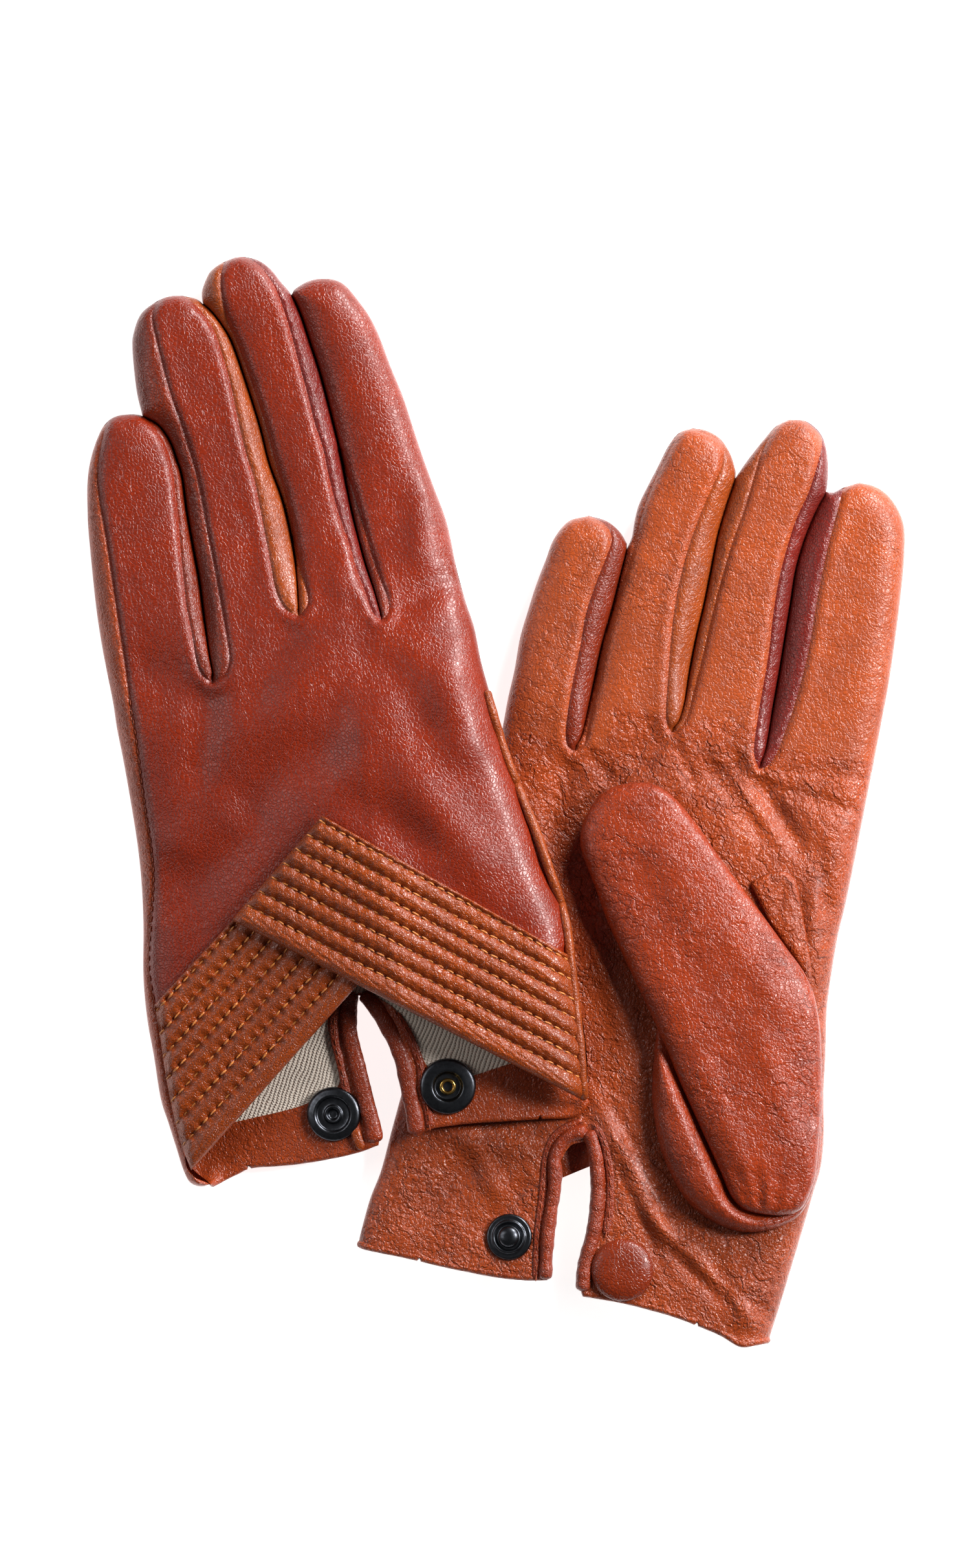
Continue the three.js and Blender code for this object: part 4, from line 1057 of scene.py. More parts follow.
def lathe(centre, normal, profile, segments=72):
    # Turned about an axis: the profile's radii and heights run from the axis out and back to it
    outline = drawn(profile, 0.16)
    place = np.arange(len(outline))
    outline = outline[(outline[:, 0] > 1e-3) | (place == 0) | (place == len(outline) - 1)]
    turn = Vector((0, 0, 1)).rotation_difference(Vector(normal)).to_matrix()
    angle = np.arange(segments) / segments * 2 * math.pi
    inner = outline[1:-1]
    rings = np.stack([inner[:, :1] * np.cos(angle), inner[:, :1] * np.sin(angle),
                      np.tile(inner[:, 1:], (1, segments))], -1)
    points = np.vstack([rings.reshape(-1, 3), (0, 0, outline[0, 1]), (0, 0, outline[-1, 1])])
    ring = np.arange(len(inner) * segments).reshape(len(inner), segments)
    after = np.roll(ring, -1, 1)
    sideFaces = np.stack([ring[:-1], after[:-1], after[1:], ring[1:]], -1).reshape(-1, 4)
    first, last = len(inner) * segments, len(inner) * segments + 1
    faces = np.vstack([sideFaces[:, [0, 1, 2]], sideFaces[:, [0, 2, 3]],
                       np.stack([after[0], ring[0], np.full(segments, first)], 1),
                       np.stack([ring[-1], after[-1], np.full(segments, last)], 1)])
    points = points @ np.array(turn).T + centre
    return points, outwards(points, faces)


# Stitches, laid along lines by Geometry Nodes

def stitchTree():
    tree = bpy.data.node_groups.new("Stitches", "GeometryNodeTree")
    given = {}
    for label, kind, value in (("Line", "Geometry", None), ("Pitch", "Float", 0.003),
                               ("Length", "Float", 0.0021),
                               ("Thickness", "Float", 0.0005), ("Wander", "Float", 0.12), ("Seed", "Int", 4),
                               ("Thread", "Material", None)):
        socket = tree.interface.new_socket(label, in_out="INPUT", socket_type="NodeSocket" + kind)
        if value is not None:
            socket.default_value = value
        given[label] = socket.identifier
    tree.interface.new_socket("Stitches", in_out="OUTPUT", socket_type="NodeSocketGeometry")

    def add(kind, **settings):
        made = tree.nodes.new(kind)
        for key, value in settings.items():
            setattr(made, key, value)
        return made

    source, end = add("NodeGroupInput"), add("NodeGroupOutput")
    link = tree.links.new
    curve = add("GeometryNodeMeshToCurve")
    link(source.outputs["Line"], curve.inputs[0])
    spaced = add("GeometryNodeResampleCurve", mode="LENGTH")
    link(curve.outputs[0], spaced.inputs["Curve"])
    link(source.outputs["Pitch"], spaced.inputs["Length"])
    tangent = add("GeometryNodeInputTangent")
    aim = add("FunctionNodeAlignRotationToVector", axis="X")
    link(tangent.outputs[0], aim.inputs["Vector"])
    wander = add("FunctionNodeRandomValue", data_type="FLOAT_VECTOR")
    wander.inputs["Min"].default_value = (0, -0.4, -1)
    wander.inputs["Max"].default_value = (0, 0.4, 1)
    link(source.outputs["Seed"], wander.inputs["Seed"])
    scaled = add("ShaderNodeVectorMath", operation="SCALE")
    link(wander.outputs["Value"], scaled.inputs[0])
    link(source.outputs["Wander"], scaled.inputs["Scale"])
    asTurn = add("FunctionNodeEulerToRotation")
    link(scaled.outputs[0], asTurn.inputs[0])
    turned = add("FunctionNodeRotateRotation", rotation_space="LOCAL")
    link(aim.outputs[0], turned.inputs[0])
    link(asTurn.outputs[0], turned.inputs[1])
    ball = add("GeometryNodeMeshUVSphere")
    ball.inputs["Segments"].default_value = 8
    ball.inputs["Rings"].default_value = 6
    ball.inputs["Radius"].default_value = 0.5
    size = add("ShaderNodeCombineXYZ")
    link(source.outputs["Length"], size.inputs[0])
    link(source.outputs["Thickness"], size.inputs[1])
    link(source.outputs["Thickness"], size.inputs[2])
    shaped = add("GeometryNodeTransform")
    link(ball.outputs["Mesh"], shaped.inputs["Geometry"])
    link(size.outputs[0], shaped.inputs["Scale"])
    placed = add("GeometryNodeInstanceOnPoints")
    link(spaced.outputs[0], placed.inputs["Points"])
    link(shaped.outputs[0], placed.inputs["Instance"])
    link(turned.outputs[0], placed.inputs["Rotation"])
    real = add("GeometryNodeRealizeInstances")
    link(placed.outputs[0], real.inputs[0])
    shadeSmooth = add("GeometryNodeSetShadeSmooth")
    link(real.outputs[0], shadeSmooth.inputs["Geometry"])
    dressed = add("GeometryNodeSetMaterial")
    link(shadeSmooth.outputs[0], dressed.inputs["Geometry"])
    link(source.outputs["Thread"], dressed.inputs["Material"])
    link(dressed.outputs[0], end.inputs[0])
    return tree, given


stitching, stitchInputs = stitchTree()


def stitches(name, lines, side, body, pitch=3.0, length=2.1, thickness=0.5, material=None):
    # One piece of separate stitches centred a pitch apart along each line of points in space
    points, edges, count = [], [], 0
    for line in lines:
        points.append(np.asarray(line))
        edges += [(count + k, count + k + 1) for k in range(len(line) - 1)]
        count += len(line)
    mesh = bpy.data.meshes.new(name + "_line")
    mesh.from_pydata((np.vstack(points) * mm).tolist(), edges, [])
    source = bpy.data.objects.new(name + "_line", mesh)
    bpy.context.scene.collection.objects.link(source)
    modifier = source.modifiers.new("Stitches", "NODES")
    modifier.node_group = stitching
    for label, value in (("Pitch", pitch * mm), ("Length", length * mm), ("Thickness", thickness * mm),
                         ("Thread", material or thread)):
        modifier[stitchInputs[label]] = value
    evaluated = source.evaluated_get(bpy.context.evaluated_depsgraph_get())
    made = bpy.data.meshes.new_from_object(evaluated)
    bpy.data.objects.remove(source)
    made.name = name
    piece = bpy.data.objects.new(name, made)
    bpy.context.scene.collection.objects.link(piece)
    return settled(piece, side, body, None)


# Quilted bands

quilting = {"rows": (1.3, 5.6, 9.9, 14.2, 18.5, 22.8, 27.1), "width": 32.0, "rib": 1.25, "pitch": 3.0,
            "pucker": 0.3,
            "thickness": 1.0, "overlap": 2.3, "stitchLength": 2.1, "stitchThickness": 0.52}


def ribRise(across):
    # The padding's height between the stitch rows, with the band's two long edges turned under
    rows = np.array(quilting["rows"])
    height = np.zeros_like(across)
    for start, end in zip(rows[:-1], rows[1:]):
        t = np.clip((across - start) / (end - start), 0, 1)
        height = np.maximum(height, quilting["rib"] * np.sin(math.pi * t) ** 0.62)
    t = np.clip((across - rows[-1]) / (quilting["width"] - rows[-1]), 0, 1)
    height = np.maximum(height, 1.45 * np.sin(math.pi * (0.04 + 0.8 * t)) ** 0.6 * (t > 0))
    t = np.clip(across / rows[0], 0, 1)
    return np.where(across < rows[0], 0.75 * np.sin(math.pi * (0.25 + 0.75 * t)) ** 0.8, height)


def quiltedBand(side, name, starts, ends, overlapping):
    # starts and ends are the band's two short edges, each from its first stitch row's side to its last roll
    glove = gloves[side]
    place = (lambda p: p) if side == "left" else onOther
    upper = side == "left"
    away = 1 if upper else -1
    across = np.concatenate([np.linspace(0, 1.3, 6)[:-1], np.linspace(1.3, 27.1, 79)[:-1],
                             np.linspace(27.1, 32, 18)])
    share = across / quilting["width"]
    span = np.linalg.norm(np.mean(ends, 0) - np.mean(starts, 0))
    count = int(span / 0.42)
    u = np.linspace(0, 1, count + 1)
    startLine, endLine = evenly(starts, share), evenly(ends, share)
    plan = startLine[:, None] + (endLine - startLine)[:, None] * u[None, :, None]
    reach = np.linalg.norm(endLine - startLine, axis=1)[:, None] * u
    nearRow = np.abs(across[:, None] - np.array(quilting["rows"])).min(1)[:, None]
    pull = np.exp(-((nearRow / 1.15) ** 2)) * np.cos(2 * math.pi * reach / quilting["pitch"])
    rise = ribRise(across)[:, None] + quilting["pucker"] * pull * np.clip(reach / 2, 0, 1)
    rng = np.random.default_rng(7)
    rise = rise * (1 + 0.06 * np.sin(reach * 0.9 + rng.uniform(0, 6.3, len(across))[:, None].round()))
    tuck = smooth(u * span, 0, 1.4)[None] * 1.0
    lift = quilting["overlap"] * (1 - smooth(u, 0.3, 0.55))[None] if overlapping else np.zeros((1, count + 1))
    flat = plan.reshape(-1, 2)
    ground = glove.height(place(flat), upper).reshape(plan.shape[:2])
    base = ground + away * (lift + 0.35)
    topZ = base + away * (rise * tuck - 0.5 * (1 - tuck))
    rounded = roundness(quilting["width"] - across, 1.6)[:, None]
    topZ -= away * 1.1 * (1 - rounded)
    underZ = base - away * (quilting["thickness"] + 0.1)
    spot = place(flat).reshape(plan.shape)
    shape = closedGrid(np.dstack([spot, topZ]), np.dstack([spot, underZ]))
    piece = solid(name, shape, skins["Quilted nappa"], side, "hand", name.split("_", 1)[1])
    lines = []
    for row in quilting["rows"]:
        k = np.abs(across - row).argmin()
        shown = (u * span > 1.2) & (u * span < span - 0.6)
        dip = 0.28 + 0.10 * np.cos(2 * math.pi * reach[k] / quilting["pitch"])
        lines.append(np.column_stack([spot[k], topZ[k] + away * dip])[shown])
    stitches(name + "_stitches", lines, side, "hand", quilting["pitch"],
             quilting["stitchLength"], quilting["stitchThickness"])


def evenly(points, share):
    line = drawn(points, 0.3)
    reach = np.concatenate([[0], np.cumsum(np.linalg.norm(np.diff(line, axis=0), axis=1))])
    return np.stack([np.interp(share * reach[-1], reach, line[:, k]) for k in range(2)], 1)


upperStarts = bandEdges["upperEnd"]
upperEnds = [(17.2, -36.9), (18.2, -43), (18.9, -50), (19.7, -57), (20.2, -64), (20.9, -71.6)]
lowerStarts = [(-56, -21.5), (-42, -30), (-28.6, -39.4)]
lowerEnds = [(-81.2, -48.8), (-79.9, -56), (-78.9, -63), (-77.7, -70), (-76.4, -76), (-74.8, -82),
             (-72.4, -88.2)]
for side in ("left", "right"):
    quiltedBand(side, f"{side}_band_upper", upperStarts, upperEnds, True)
    quiltedBand(side, f"{side}_band_lower", lowerStarts, lowerEnds, False)
print("bands done")


# Cuffs

def flat(side, upper, offset):
    return lambda plan: gloves[side].height(plan, upper) + offset


leftHemStud = joined(
    drawn(cuffs["left"]["ventStud"]), drawn(cuffs["left"]["hemStud"]),
    drawn([(-67.9, -91.4), (-73, -86), (-69, -78.5), (-60, -76.2), (-50, -73.9), (-44.7, -72.2), (-38.2, -69),
           (-37.2, -65),
           (-39.2, -58), (-39.9, -52.4), (-38.4, -47.5)]))
leftHemCap = joined(
    drawn(cuffs["left"]["hemCap"]), drawn(cuffs["left"]["ventCap"]),
    drawn([(-29, -46.6), (-24.4, -49.5), (-21.4, -53.6), (-18.5, -58.5), (-16.6, -63), (-14, -66),
           (-8, -66.3), (-1, -64.2),
           (8, -61.5), (19, -60)]))
for name, loop in (("stud", leftHemStud), ("cap", leftHemCap)):
    panel(left, f"left_{name}_facing", loop, skins["Hem nappa"], False,
          lambda body: (None, "palm_panel" if body == "hand" else body), flapCuts("left"), flaps=True,
          offset=1.5,
          rings=(0.4, 1.0), facing=True)

liningLoops = {
    "left": drawn([(-70, -80), (-60, -78.6), (-50, -76), (-42, -74), (-36.4, -69), (-35.6, -63), (-37, -57),
                   (-37.8, -50),
                   (-34, -46.4), (-30.5, -46.4), (-25.5, -50), (-20.5, -57), (-17.5, -62), (-14, -68),
                   (-6, -68), (4, -66),
                   (17, -62), (15, -45), (9.6, -20), (3, 0), (-4.5, 20), (-12, 40), (-28, 40), (-46, 41),
                   (-66, 26), (-84, 22),
                   (-81, 0), (-78, -40), (-74, -66)], 1.4),
    "right": drawn([(62, -126), (50, -123), (36, -117.6), (27, -116), (25, -108), (27, -98), (27.6, -88),
                    (25.6, -80),
                    (22, -76.6), (17, -77.6), (12.4, -81), (11.6, -90), (11, -100), (10, -111), (-10, -108.6),
                    (-28, -104),
                    (-22, -80), (-11, -45), (-2, -8), (4, 10), (18, 6), (42, 11), (62, 2), (85, 2), (82, -14),
                    (77, -45),
                    (75, -80), (71, -100)], 1.4),
}
for side in gloves:
    glove, upper = gloves[side], side == "right"
    made = panel(glove, f"{side}_lining", liningLoops[side], knit, upper,
                 lambda body: ("lining" if body == "hand" else None, body), flapCuts(side), flaps=True,
                 spacing=2.0,
                 offset=1.05 if side == "left" else -1.2, rings=(), facing=True)
print("linings done")

rolls = {  # bindings and rolled edges: centre line, radius, flattening, height, body and finish
    "left_stud_binding": ([(-34.4, -45.5), (-34.8, -48.5), (-35, -52), (-34.8, -56), (-33.5, -61.2),
                           (-32.1, -67),
                           (-30.5, -73.3), (-29.1, -78.6), (-28.9, -81.6)], 2.0, 0.62, 1.3, "stud_flap",
                          "Binding nappa"),
    "left_cap_binding": ([(-31.6, -45.8), (-28, -50), (-25.5, -54.2), (-23.4, -58.6), (-21.8, -63),
                          (-20.9, -67.4),
                          (-20.2, -71.3), (-19.3, -75.4), (-18.8, -79.6)], 2.0, 0.62, 1.3, "cap_flap",
                         "Binding nappa"),
    "left_stud_strip": ([(-37.4, -48), (-38.2, -51), (-38.5, -54), (-38.1, -58), (-36.9, -63), (-35.8, -68),
                         (-34.4, -74),
                         (-33.1, -79.5)], 1.0, 0.45, 1.65, "stud_flap", "Binding nappa"),
    "left_cap_strip": ([(-24, -50.6), (-21.8, -54), (-19.6, -58.3), (-18, -62.9), (-17.5, -67), (-16.8, -71),
                        (-15.9, -75.4),
                        (-15.7, -78)], 1.0, 0.45, 1.65, "cap_flap", "Binding nappa"),
    "left_binding_tongue": ([(-33.6, -78), (-32.9, -80.6), (-31.8, -83.2)], 1.2, 0.5, 2.0, "stud_flap",
                            "Quilted nappa"),
    "left_hem_cap": (cuffs["left"]["hemCap"], 0.95, 0.8, 0.75, None, "Hem nappa"),
    "left_hem_stud": (cuffs["left"]["hemStud"], 0.95, 0.8, 0.75, None, "Hem nappa"),
    "right_stud_binding": ([(11.8, -114.2), (12, -109), (12.4, -103), (13.1, -98), (13.9, -93), (14.1, -88.5),
                            (14, -85.3),
                            (15.2, -82.2), (17.2, -80.2), (19.6, -79.3), (21.9, -78.9)], 1.65, 1.0, -0.15,
                           "stud_flap",
                           "Binding nappa"),
    "right_cap_binding": ([(22, -78.7), (23.1, -81.2), (23.9, -85), (24.3, -89.9), (24.3, -94), (24, -98.6),
                           (23.2, -103.5),
                           (22, -107.8), (21.2, -111.5), (20.7, -117)], 1.85, 1.0, -0.25, "cap_flap",
                          "Binding nappa"),
    "right_stud_strip": ([(9.6, -113.8), (9.9, -107), (10.3, -101), (11, -95.5), (11.5, -91), (11.8, -86.8),
                          (12.6, -82.8),
                          (14.6, -79.6), (17.4, -77.6), (20.6, -76.6)], 0.95, 0.4, 0.0, "stud_flap",
                         "Binding nappa"),
    "right_cap_strip": ([(23.6, -77.4), (25.4, -80.2), (26.5, -84), (27.2, -89), (27.3, -94), (27, -98.6),
                         (26.2, -103.5)],
                        0.95, 0.4, 0.0, "cap_flap", "Binding nappa"),
    "right_hem_cap": (cuffs["right"]["hemCap"], 0.9, 0.9, -0.7, None, "Palm nappa"),
    "right_hem_stud": (cuffs["right"]["hemStud"], 0.9, 0.9, -0.7, None, "Palm nappa"),
    "left_radial_roll": ([(-2.2, 26), (-0.6, 20), (1.5, 13.2), (4, 6), (7.3, -2), (10.5, -10), (13.2, -18),
                          (15.7, -25.4),
                          (17, -31.5), (17.8, -38), (18.8, -47), (19.8, -56), (20.4, -63), (20.9, -71)], 1.15,
                         1.0, None,
                         "hand", "Tan fourchette"),
}


def rollLevel(side, offset):
    if offset is None:
        return lambda plan: left.height(plan, True) + 0.9  # along the drooping edge
    return flat(side, side == "right", offset)


def rollAlong(name, side, line, radius, squash, level, body, skin, wrinkle=0.09, taper=1.2):
    path = np.column_stack([line, level(line)])
    shape = tube(path, radius, squash, taper=min(radius, taper), wrinkle=wrinkle, seed=len(name))
    solid(name, shape, skins[skin], side, body, None)


for name, (points, radius, squash, offset, body, skin) in rolls.items():
    side = name.split("_")[0]
    line = drawn(points, 0.45)
    level = rollLevel(side, offset)
    if body:
        rollAlong(name, side, line, radius, squash, level, body, skin)
        continue
    owner = ownerOf(side, line, True)  # a hem is parted where it crosses a fold line
    for owned in dict.fromkeys(owner):
        rows = np.nonzero(owner == owned)[0]
        rollAlong(f"{name}_{owned}", side, line[rows[0]:rows[-1] + 2], radius, squash, level, owned, skin,
                  0.05, 0.1)

seamThread = leather("Seam thread")
for name, side, upper, offset, body, points in (
    ("left_stud_stitches", "left", False, 2.2, "stud_flap", rolls["left_stud_strip"][0]),
    ("left_cap_stitches", "left", False, 2.2, "cap_flap", rolls["left_cap_strip"][0]),
    ("right_stud_stitches", "right", True, 0.42, "stud_flap", rolls["right_stud_strip"][0]),
    ("right_cap_stitches", "right", True, 0.42, "cap_flap", rolls["right_cap_strip"][0]),
):
    stitches(name, [ranAlong(points, flat(side, upper, offset))], side, body, 2.4, 1.7, 0.36,
             seamThread)
ulnarStitches = stretch(leftLines["ulnarSeam"], (-80.7, -52), (-86.9, 23))
stitches("left_seam_stitches", [np.column_stack([ulnarStitches, left.height(ulnarStitches, True) + 0.2])],
         "left", "hand",
         2.3, 1.5, 0.34, seamThread)

tongue = drawn([(12, -91.6), (15.9, -89.9), (22.2, -87.3), (27, -85.5), (28, -76), (22, -72), (12, -74),
                (11, -84), (12, -91.6)])[:-1]
plan, faces = filled(tongue, 1.2, (0.4,))
faces = facingUp(plan, faces)
crumple = 6.4 + 0.5 * np.sin(plan[:, 0] * 0.8 + plan[:, 1] * 0.35) - 0.8 * smooth(plan[:, 1], -82, -76)
points = np.vstack([np.column_stack([plan, crumple]), np.column_stack([plan, crumple - 1.0])])
edge = np.vstack([faces, faces[:, ::-1] + len(plan)])
solid("right_inside_tongue", (points, edge), skins["Hem nappa"], "right", "hand", None)
print("cuffs done")


# Press fasteners: across and along the right way, outer side or inner side, profile as radius and height
studSpots = {"left": {"stud": (-38.6, -74.8), "cap": (-11.4, -68.2)},
             "right": {"stud": (3.2, -104), "cap": (30.1, -111.9)}}
snaps = {
    "cap_button": ("cap", True, "Covered button",
                   [(0, 2.3), (2.5, 2.27), (4.8, 2.0), (6.4, 1.45), (7.2, 0.8), (7.35, 0.3),
                                                  (7.0, -0.1), (4, -0.25), (0, -0.25)]),
    "stud_post": ("stud", True, "Gunmetal", [(0, 2.2), (1.1, 2.12), (2.0, 1.75), (2.45, 1.2), (2.4, 0.75),
                                             (2.7, 0.5),
                                             (3.1, 0.6), (3.5, 1.0), (3.85, 0.95), (4.1, 0.6), (4.6, 0.52),
                                             (5.1, 0.5),
                                             (5.4, 0.2), (5.3, -0.1), (3, -0.2), (0, -0.2)]),
    "stud_washer": ("stud", False, "Gunmetal",
                    [(0, 0.1), (0.9, 0.1), (1.15, 0.35), (1.5, 0.8), (2.0, 0.85), (2.3, 0.45),
                                                (2.9, 0.35), (3.8, 0.45), (4.1, 0.85), (4.5, 1.1),
                     (4.9, 1.05), (5.8, 0.85),
                                                (6.3, 0.5), (6.4, 0.1), (6.2, -0.3), (3, -0.35), (0, -0.35)]),
    "cap_socket": ("cap", False, "Gunmetal", [(0, -0.25), (2.6, -0.2), (3.1, -0.05), (3.35, 0.5), (3.6, 0.95),
                                              (4.0, 1.1),
                                              (4.9, 1.05), (6.0, 0.85), (6.5, 0.5), (6.6, 0.1), (6.4, -0.35),
                                              (3, -0.4),
                                              (0, -0.4)]),
    "cap_eyelet": ("cap", False, "Brass", [(0, -1.3), (0.9, -1.25), (1.05, -0.6), (1.12, 0.4), (1.35, 0.8),
                                           (1.75, 0.78),
                                           (1.97, 0.45), (2.0, -0.1), (1.8, -1.2), (1.0, -1.45), (0, -1.45)]),
}
finishes = {"Gunmetal": gunmetal, "Brass": brass, "Covered button": skins["Button nappa"]}
for side in gloves:
    for name, (which, outer, finish, profile) in snaps.items():
        x, y = studSpots[side][which]
        palmUp = side == "right"
        near = np.array([(x, y), (x + 2, y), (x - 2, y), (x, y + 2), (x, y - 2)], float)
        z = gloves[side].height(near, palmUp)
        slope = ((z[1] - z[2]) / 4, (z[3] - z[4]) / 4)
        away = 1 if palmUp == outer else -1
        seat = z.mean() + (0.35 if palmUp else -0.35) * (1 if outer
                                                         else 0) + (0 if outer
                                                                    else (-1.75 if palmUp else 2.1))
        normal = np.array([-slope[0], -slope[1], 1.0]) * away
        solid(f"{side}_{name}_turned", lathe((x, y, seat), normal / np.linalg.norm(normal), profile),
              finishes[finish], side,
              f"{which}_flap", name)
print("fasteners done")


# Thumbs: outlines on the right glove, which the left one matches across and along the hand

thumbs = {
    "tube": [(32.7, 4.2), (28.5, 3.2), (24.6, 1), (21.6, -3.6), (20.1, -8.6), (20.6, -13), (23.3, -20),
             (26.6, -29),
             (30.7, -38), (35.4, -48), (40.1, -58), (43.7, -67), (49.1, -79), (53.2, -88), (55.8, -94),
             (59, -97.4),
             (63.5, -98.6), (68.5, -98.8), (72.6, -97.4), (75, -93), (76.3, -88), (77.2, -76), (77.4, -66),
             (77.2, -56),
             (76, -47.5), (73.6, -41.5), (69.7, -36), (65.7, -30.5), (61.7, -25), (57.6, -19.6),
             (52.9, -13.2), (48.2, -6.5),
             (43.6, -0.7), (40.2, 2.3), (36.8, 3.9), (32.7, 4.2)],
    "base": [(46, -40), (41, -48), (38.4, -54), (37.5, -62), (37.1, -69), (37.5, -75), (38.8, -82),
             (41.5, -89),
             (45.5, -95.6), (50.9, -100), (56.3, -102.4), (61.7, -102.9), (67.5, -101.6), (72.4, -98.6),
             (75.4, -93),
             (76.9, -86), (77.5, -76), (77.6, -62), (76.4, -50), (72, -44), (60, -38), (46, -40)],
    "quirk": [(68.2, -16.9), (64.5, -17.6), (60.6, -20), (61.8, -23), (64, -27.5), (66.3, -31.4), (71, -38),
              (74.6, -44),
              (75.2, -42), (74.6, -36), (73.2, -28), (72.2, -22.4), (71, -18.6), (68.2, -16.9)],
}
thumbHeights = {"right": {"low": 1.1, "high": 8.5}, "left": {"low": 1.0, "high": 4.4}}


def thumbOutline(side, name):
    line = drawn(thumbs[name], 1.0)[:-1]
    return line if side == "right" else toRow("left", toHand("right", line))


def asRight(side, plan):
    return plan if side == "right" else toRow("right", toHand("left", plan))


def seatOf(side, plan):
    # The palm's face, smoothed past its seams
    hand = toHand(side, plan)
    middle = middleHeight(side, hand)
    rise = faceRise(side, side == "right", hand)
    return middle + rise if side == "right" else middle - rise


def pouch(name, side, outline, top, under, skin, spacing=1.3):
    # A closed soft form over an outline, with a height for its upper and its lower face
    plan, faces = filled(outline, spacing, (0.25, 0.7, 1.3, 2.1, 3.2))
    distance, _ = distanceTo(plan, np.vstack([outline, outline[:1]]))
    way = 1 if side == "right" else -1
    seat = seatOf(side, plan)
    spot = asRight(side, plan)
    high, low = top(spot, distance), under(spot, distance)
    both = np.vstack([np.column_stack([plan, seat + way * high]), np.column_stack([plan, seat + way * low])])
    shape = np.vstack([facingUp(plan, faces, way > 0), facingUp(plan, faces, way < 0) + len(plan)])
    normals = vertexNormals(both, shape)
    rim = distance < 1e-6
    blended = normals[:len(plan)][rim] + normals[len(plan):][rim]
    normals[:len(plan)][rim] = normals[len(plan):][rim] = blended / np.linalg.norm(blended, axis=1)[:, None]
    return built(name, both, shape, skins[skin], normals)


def bumpAt(spot, start, end, width, depth):
    start, end = np.array(start, float), np.array(end, float)
    axis = end - start
    span = np.linalg.norm(axis)
    along = (spot - start) @ axis / span
    aside = (spot - start) @ np.array([-axis[1], axis[0]]) / span
    fade = smooth(along, -0.12 * span, 0.25 * span) * (1 - smooth(along, 0.75 * span, 1.12 * span))
    return depth * fade * np.exp(-(aside / width) ** 2)


tubeEdges = {  # the tube's outer side rises slowly, its inner side steeply
    "inner": drawn([(20.1, -8.6), (20.6, -13), (23.3, -20), (26.6, -29), (30.7, -38), (35.4, -48),
                    (40.1, -58), (43.7, -67),
                    (49.1, -79), (53.2, -88), (55.8, -94)]),
    "outer": drawn([(77.2, -76), (77.2, -56), (76, -47.5), (69.7, -36), (61.7, -25), (52.9, -13.2),
                    (43.6, -0.7)]),
    "root": drawn([(55.8, -94), (59, -97.4), (63.5, -98.6), (68.5, -98.8), (72.6, -97.4), (75.5, -91)]),
}
thumbFolds = [
    ((60, -97), (57, -87), 1.1, -0.7), ((63, -98), (62, -88), 1.0, -0.7), ((66, -98), (68, -89), 1.1, -0.7),
    ((58, -95), (60, -86), 0.9, 0.5), ((64.6, -98), (65, -90), 0.9, 0.5), ((70, -97), (73, -88), 1.0, -0.5),
    ((62, -54), (72, -84), 3.0, 0.5), ((58, -52), (50, -74), 4.0, -0.5), ((36, -6), (48, -26), 5.0, 0.35),
    ((30, -10), (52, -50), 4.0, -0.4), ((54, -30), (70, -52), 3.4, 0.5), ((48, -60), (60, -90), 2.6, 0.5),
]


def tubeTop(spot, distance, high):
    inner, _ = distanceTo(spot, tubeEdges["inner"])
    outer, _ = distanceTo(spot, tubeEdges["outer"])
    root, _ = distanceTo(spot, tubeEdges["root"])
    level = roundness(inner, 8)
    level = np.minimum(level, roundness(outer, 21))
    level = np.minimum(level, roundness(distance, 8))
    level = np.minimum(level, mixed(0.3, 1, roundness(root, 15)))
    middle = 0.5 * high
    z = middle + (high - middle) * level
    for start, end, width, depth in thumbFolds:
        z = z + bumpAt(spot, start, end, width, depth) * (high / 8.5) * smooth(distance, 0, 2.5)
    return z


def tubeUnder(distance, low, high):
    middle = 0.5 * high
    return middle - (middle - low) * roundness(distance, 6)


def baseTop(spot, distance, high, low):
    # Full where it shows beside the tube, low where the tube lies on it
    hidden = smooth(distanceInside(spot), -3.2, 1.2)
    level = roundness(distance, 7.5)
    ruck = 0.3 * ripple(np.degrees(np.arctan2(spot[:, 1] + 84, spot[:, 0] - 62)) / 7,
                        5) * smooth(distance, 0, 2)
    return low + (mixed(0.8 * high, 0.3 * high, hidden) + ruck * (high / 8.5)) * level


def distanceInside(spot):
    outline = drawn(thumbs["tube"], 1.0)
    distance, _ = distanceTo(spot, outline)
    return np.where(insideOf(spot, outline[:-1]), distance, -distance)


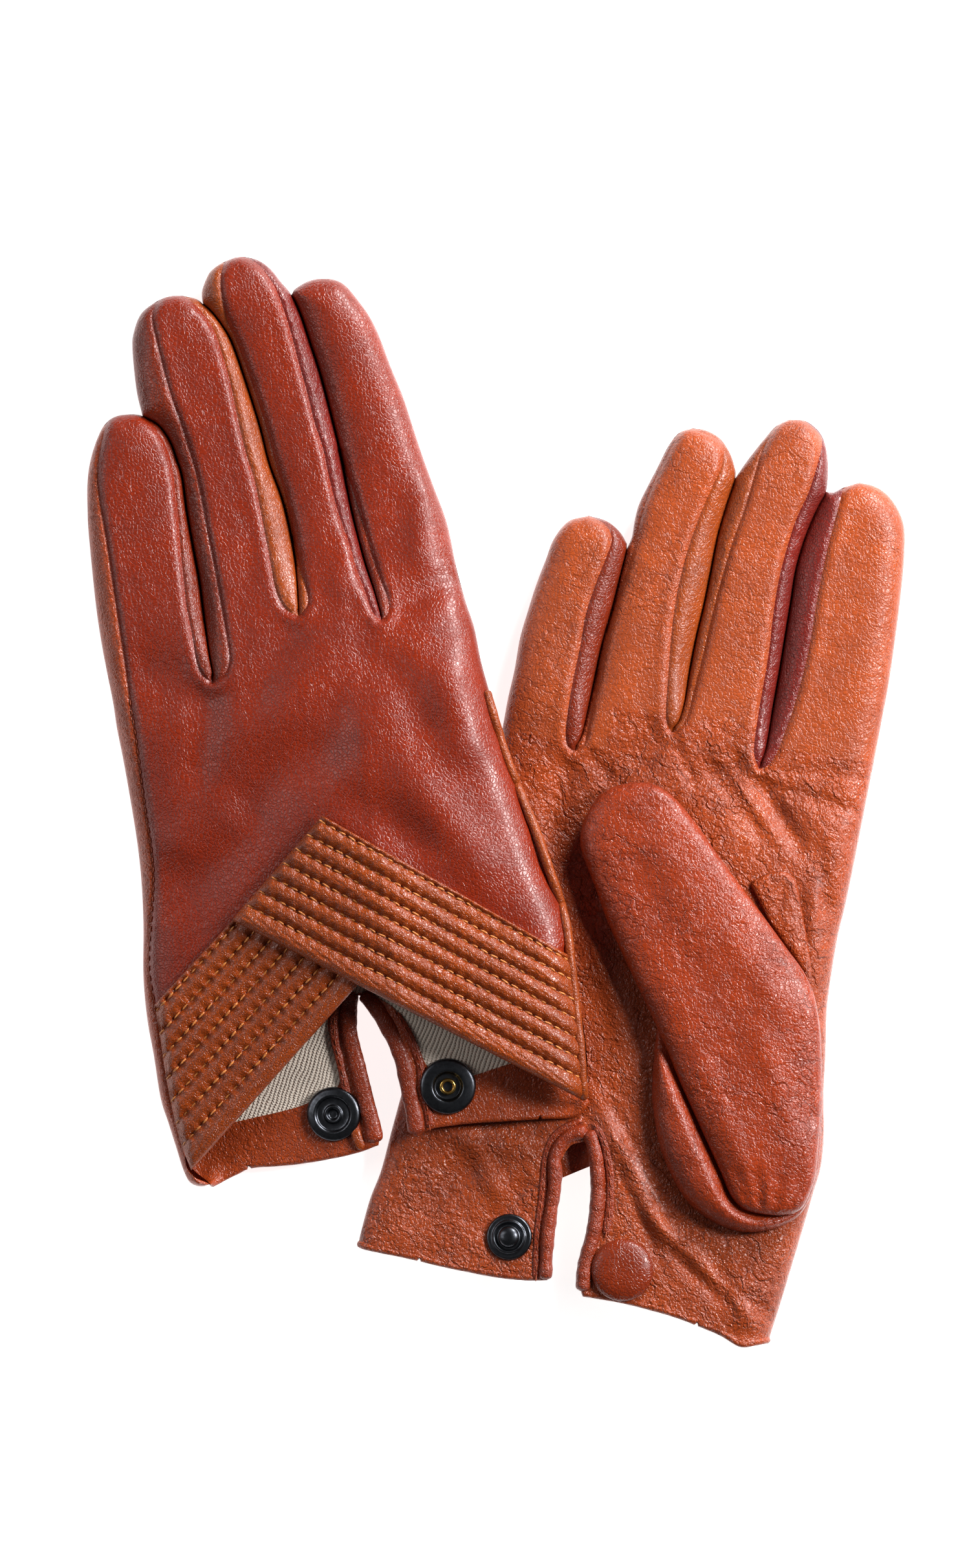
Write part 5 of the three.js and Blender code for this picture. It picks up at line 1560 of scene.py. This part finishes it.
for side in gloves:
    heights = thumbHeights[side]
    low, high = heights["low"], heights["high"]
    tubePiece = pouch(f"{side}_thumb_tube", side, thumbOutline(side, "tube"), lambda s,
                      d: tubeTop(s, d, high),
                      lambda s, d: tubeUnder(d, low, high), "Thumb nappa")
    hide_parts(f"{side}_thumb_upper", f"{side}_thumb_lower")
    seam = toRow(side, [(27, 67.2)])[0]
    turn = math.radians(26 + lay[side]["turn"])
    away = np.array([-math.sin(turn), math.cos(turn)])
    level = float(seatOf(side, seam[None])[0] + (1 if side == "right" else -1) * 0.5 * high)
    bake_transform(tubePiece)
    basePiece = pouch(f"{side}_thumb_root", side, thumbOutline(side, "base"),
                      lambda s, d: baseTop(s, d, high, low * 0.2),
                      lambda s, d: np.full(len(s), low * 0.2) - 0.1, "Thumb nappa")
    settled(basePiece, side, "hand", "thumb_base")
    quirkPiece = pouch(f"{side}_quirk_gusset", side, thumbOutline(side, "quirk"),
                       lambda s, d: 0.2 + 1.5
                       * roundness(d, 2.6) + bumpAt(s, (69, -19), (66.5, -29), 1.0, -0.7)
                       + bumpAt(s, (70.6, -20), (73.5, -38), 0.8, -0.5),
                       lambda s, d: np.full(len(s), -0.3), "Palm nappa", 0.8)
    settled(quirkPiece, side, "hand", "quirk")
print("thumbs done")

# Stage
floorMaterial = plainMaterial("White floor", (0.9, 0.9, 0.9))
floorShader = floorMaterial.node_tree.nodes["Principled BSDF"]
floorShader.inputs["Emission Color"].default_value = (1, 1, 1, 1)
floorShader.inputs["Emission Strength"].default_value = 0.85
floor = built("Floor", [(-900, -900, -0.05), (900, -900, -0.05), (900, 900, -0.05), (-900, 900, -0.05)],
              [(0, 1, 2, 3)],
              floorMaterial, lowest=-0.05)
bpy.context.scene.view_settings.view_transform = "Standard"

world = bpy.data.worlds.new("Studio")
bpy.context.scene.world = world
world.use_nodes = True
world.node_tree.nodes["Background"].inputs["Color"].default_value = (1, 1, 1, 1)
world.node_tree.nodes["Background"].inputs["Strength"].default_value = 0.05


def softbox(name, place, width, height, power):
    light = bpy.data.lights.new(name, "AREA")
    light.shape = "RECTANGLE"
    light.size, light.size_y, light.energy = width, height, power
    lamp = bpy.data.objects.new(name, light)
    lamp.location = place
    lamp.rotation_euler = (-Vector(place)).to_track_quat("-Z", "Y").to_euler()
    bpy.context.scene.collection.objects.link(lamp)


softboxes = {  # place, width, height and power, each turned to the middle of the table
    "Key softbox": ((0.42, 0.6, 0.4), 0.3, 0.22, 9),
    "High softbox": ((0.62, 0.16, 0.56), 0.24, 0.24, 8),
    "Fill softbox": ((-0.6, 0.1, 0.45), 0.4, 0.4, 1.2),
}
for name, values in softboxes.items():
    softbox(name, *values)

camera = bpy.data.objects.new("Camera", bpy.data.cameras.new("Camera"))
camera.data.type = "ORTHO"
camera.data.ortho_scale = 0.3728
camera.location = (-0.0016, 0.0037, 0.9)
bpy.context.scene.collection.objects.link(camera)
bpy.context.scene.camera = camera
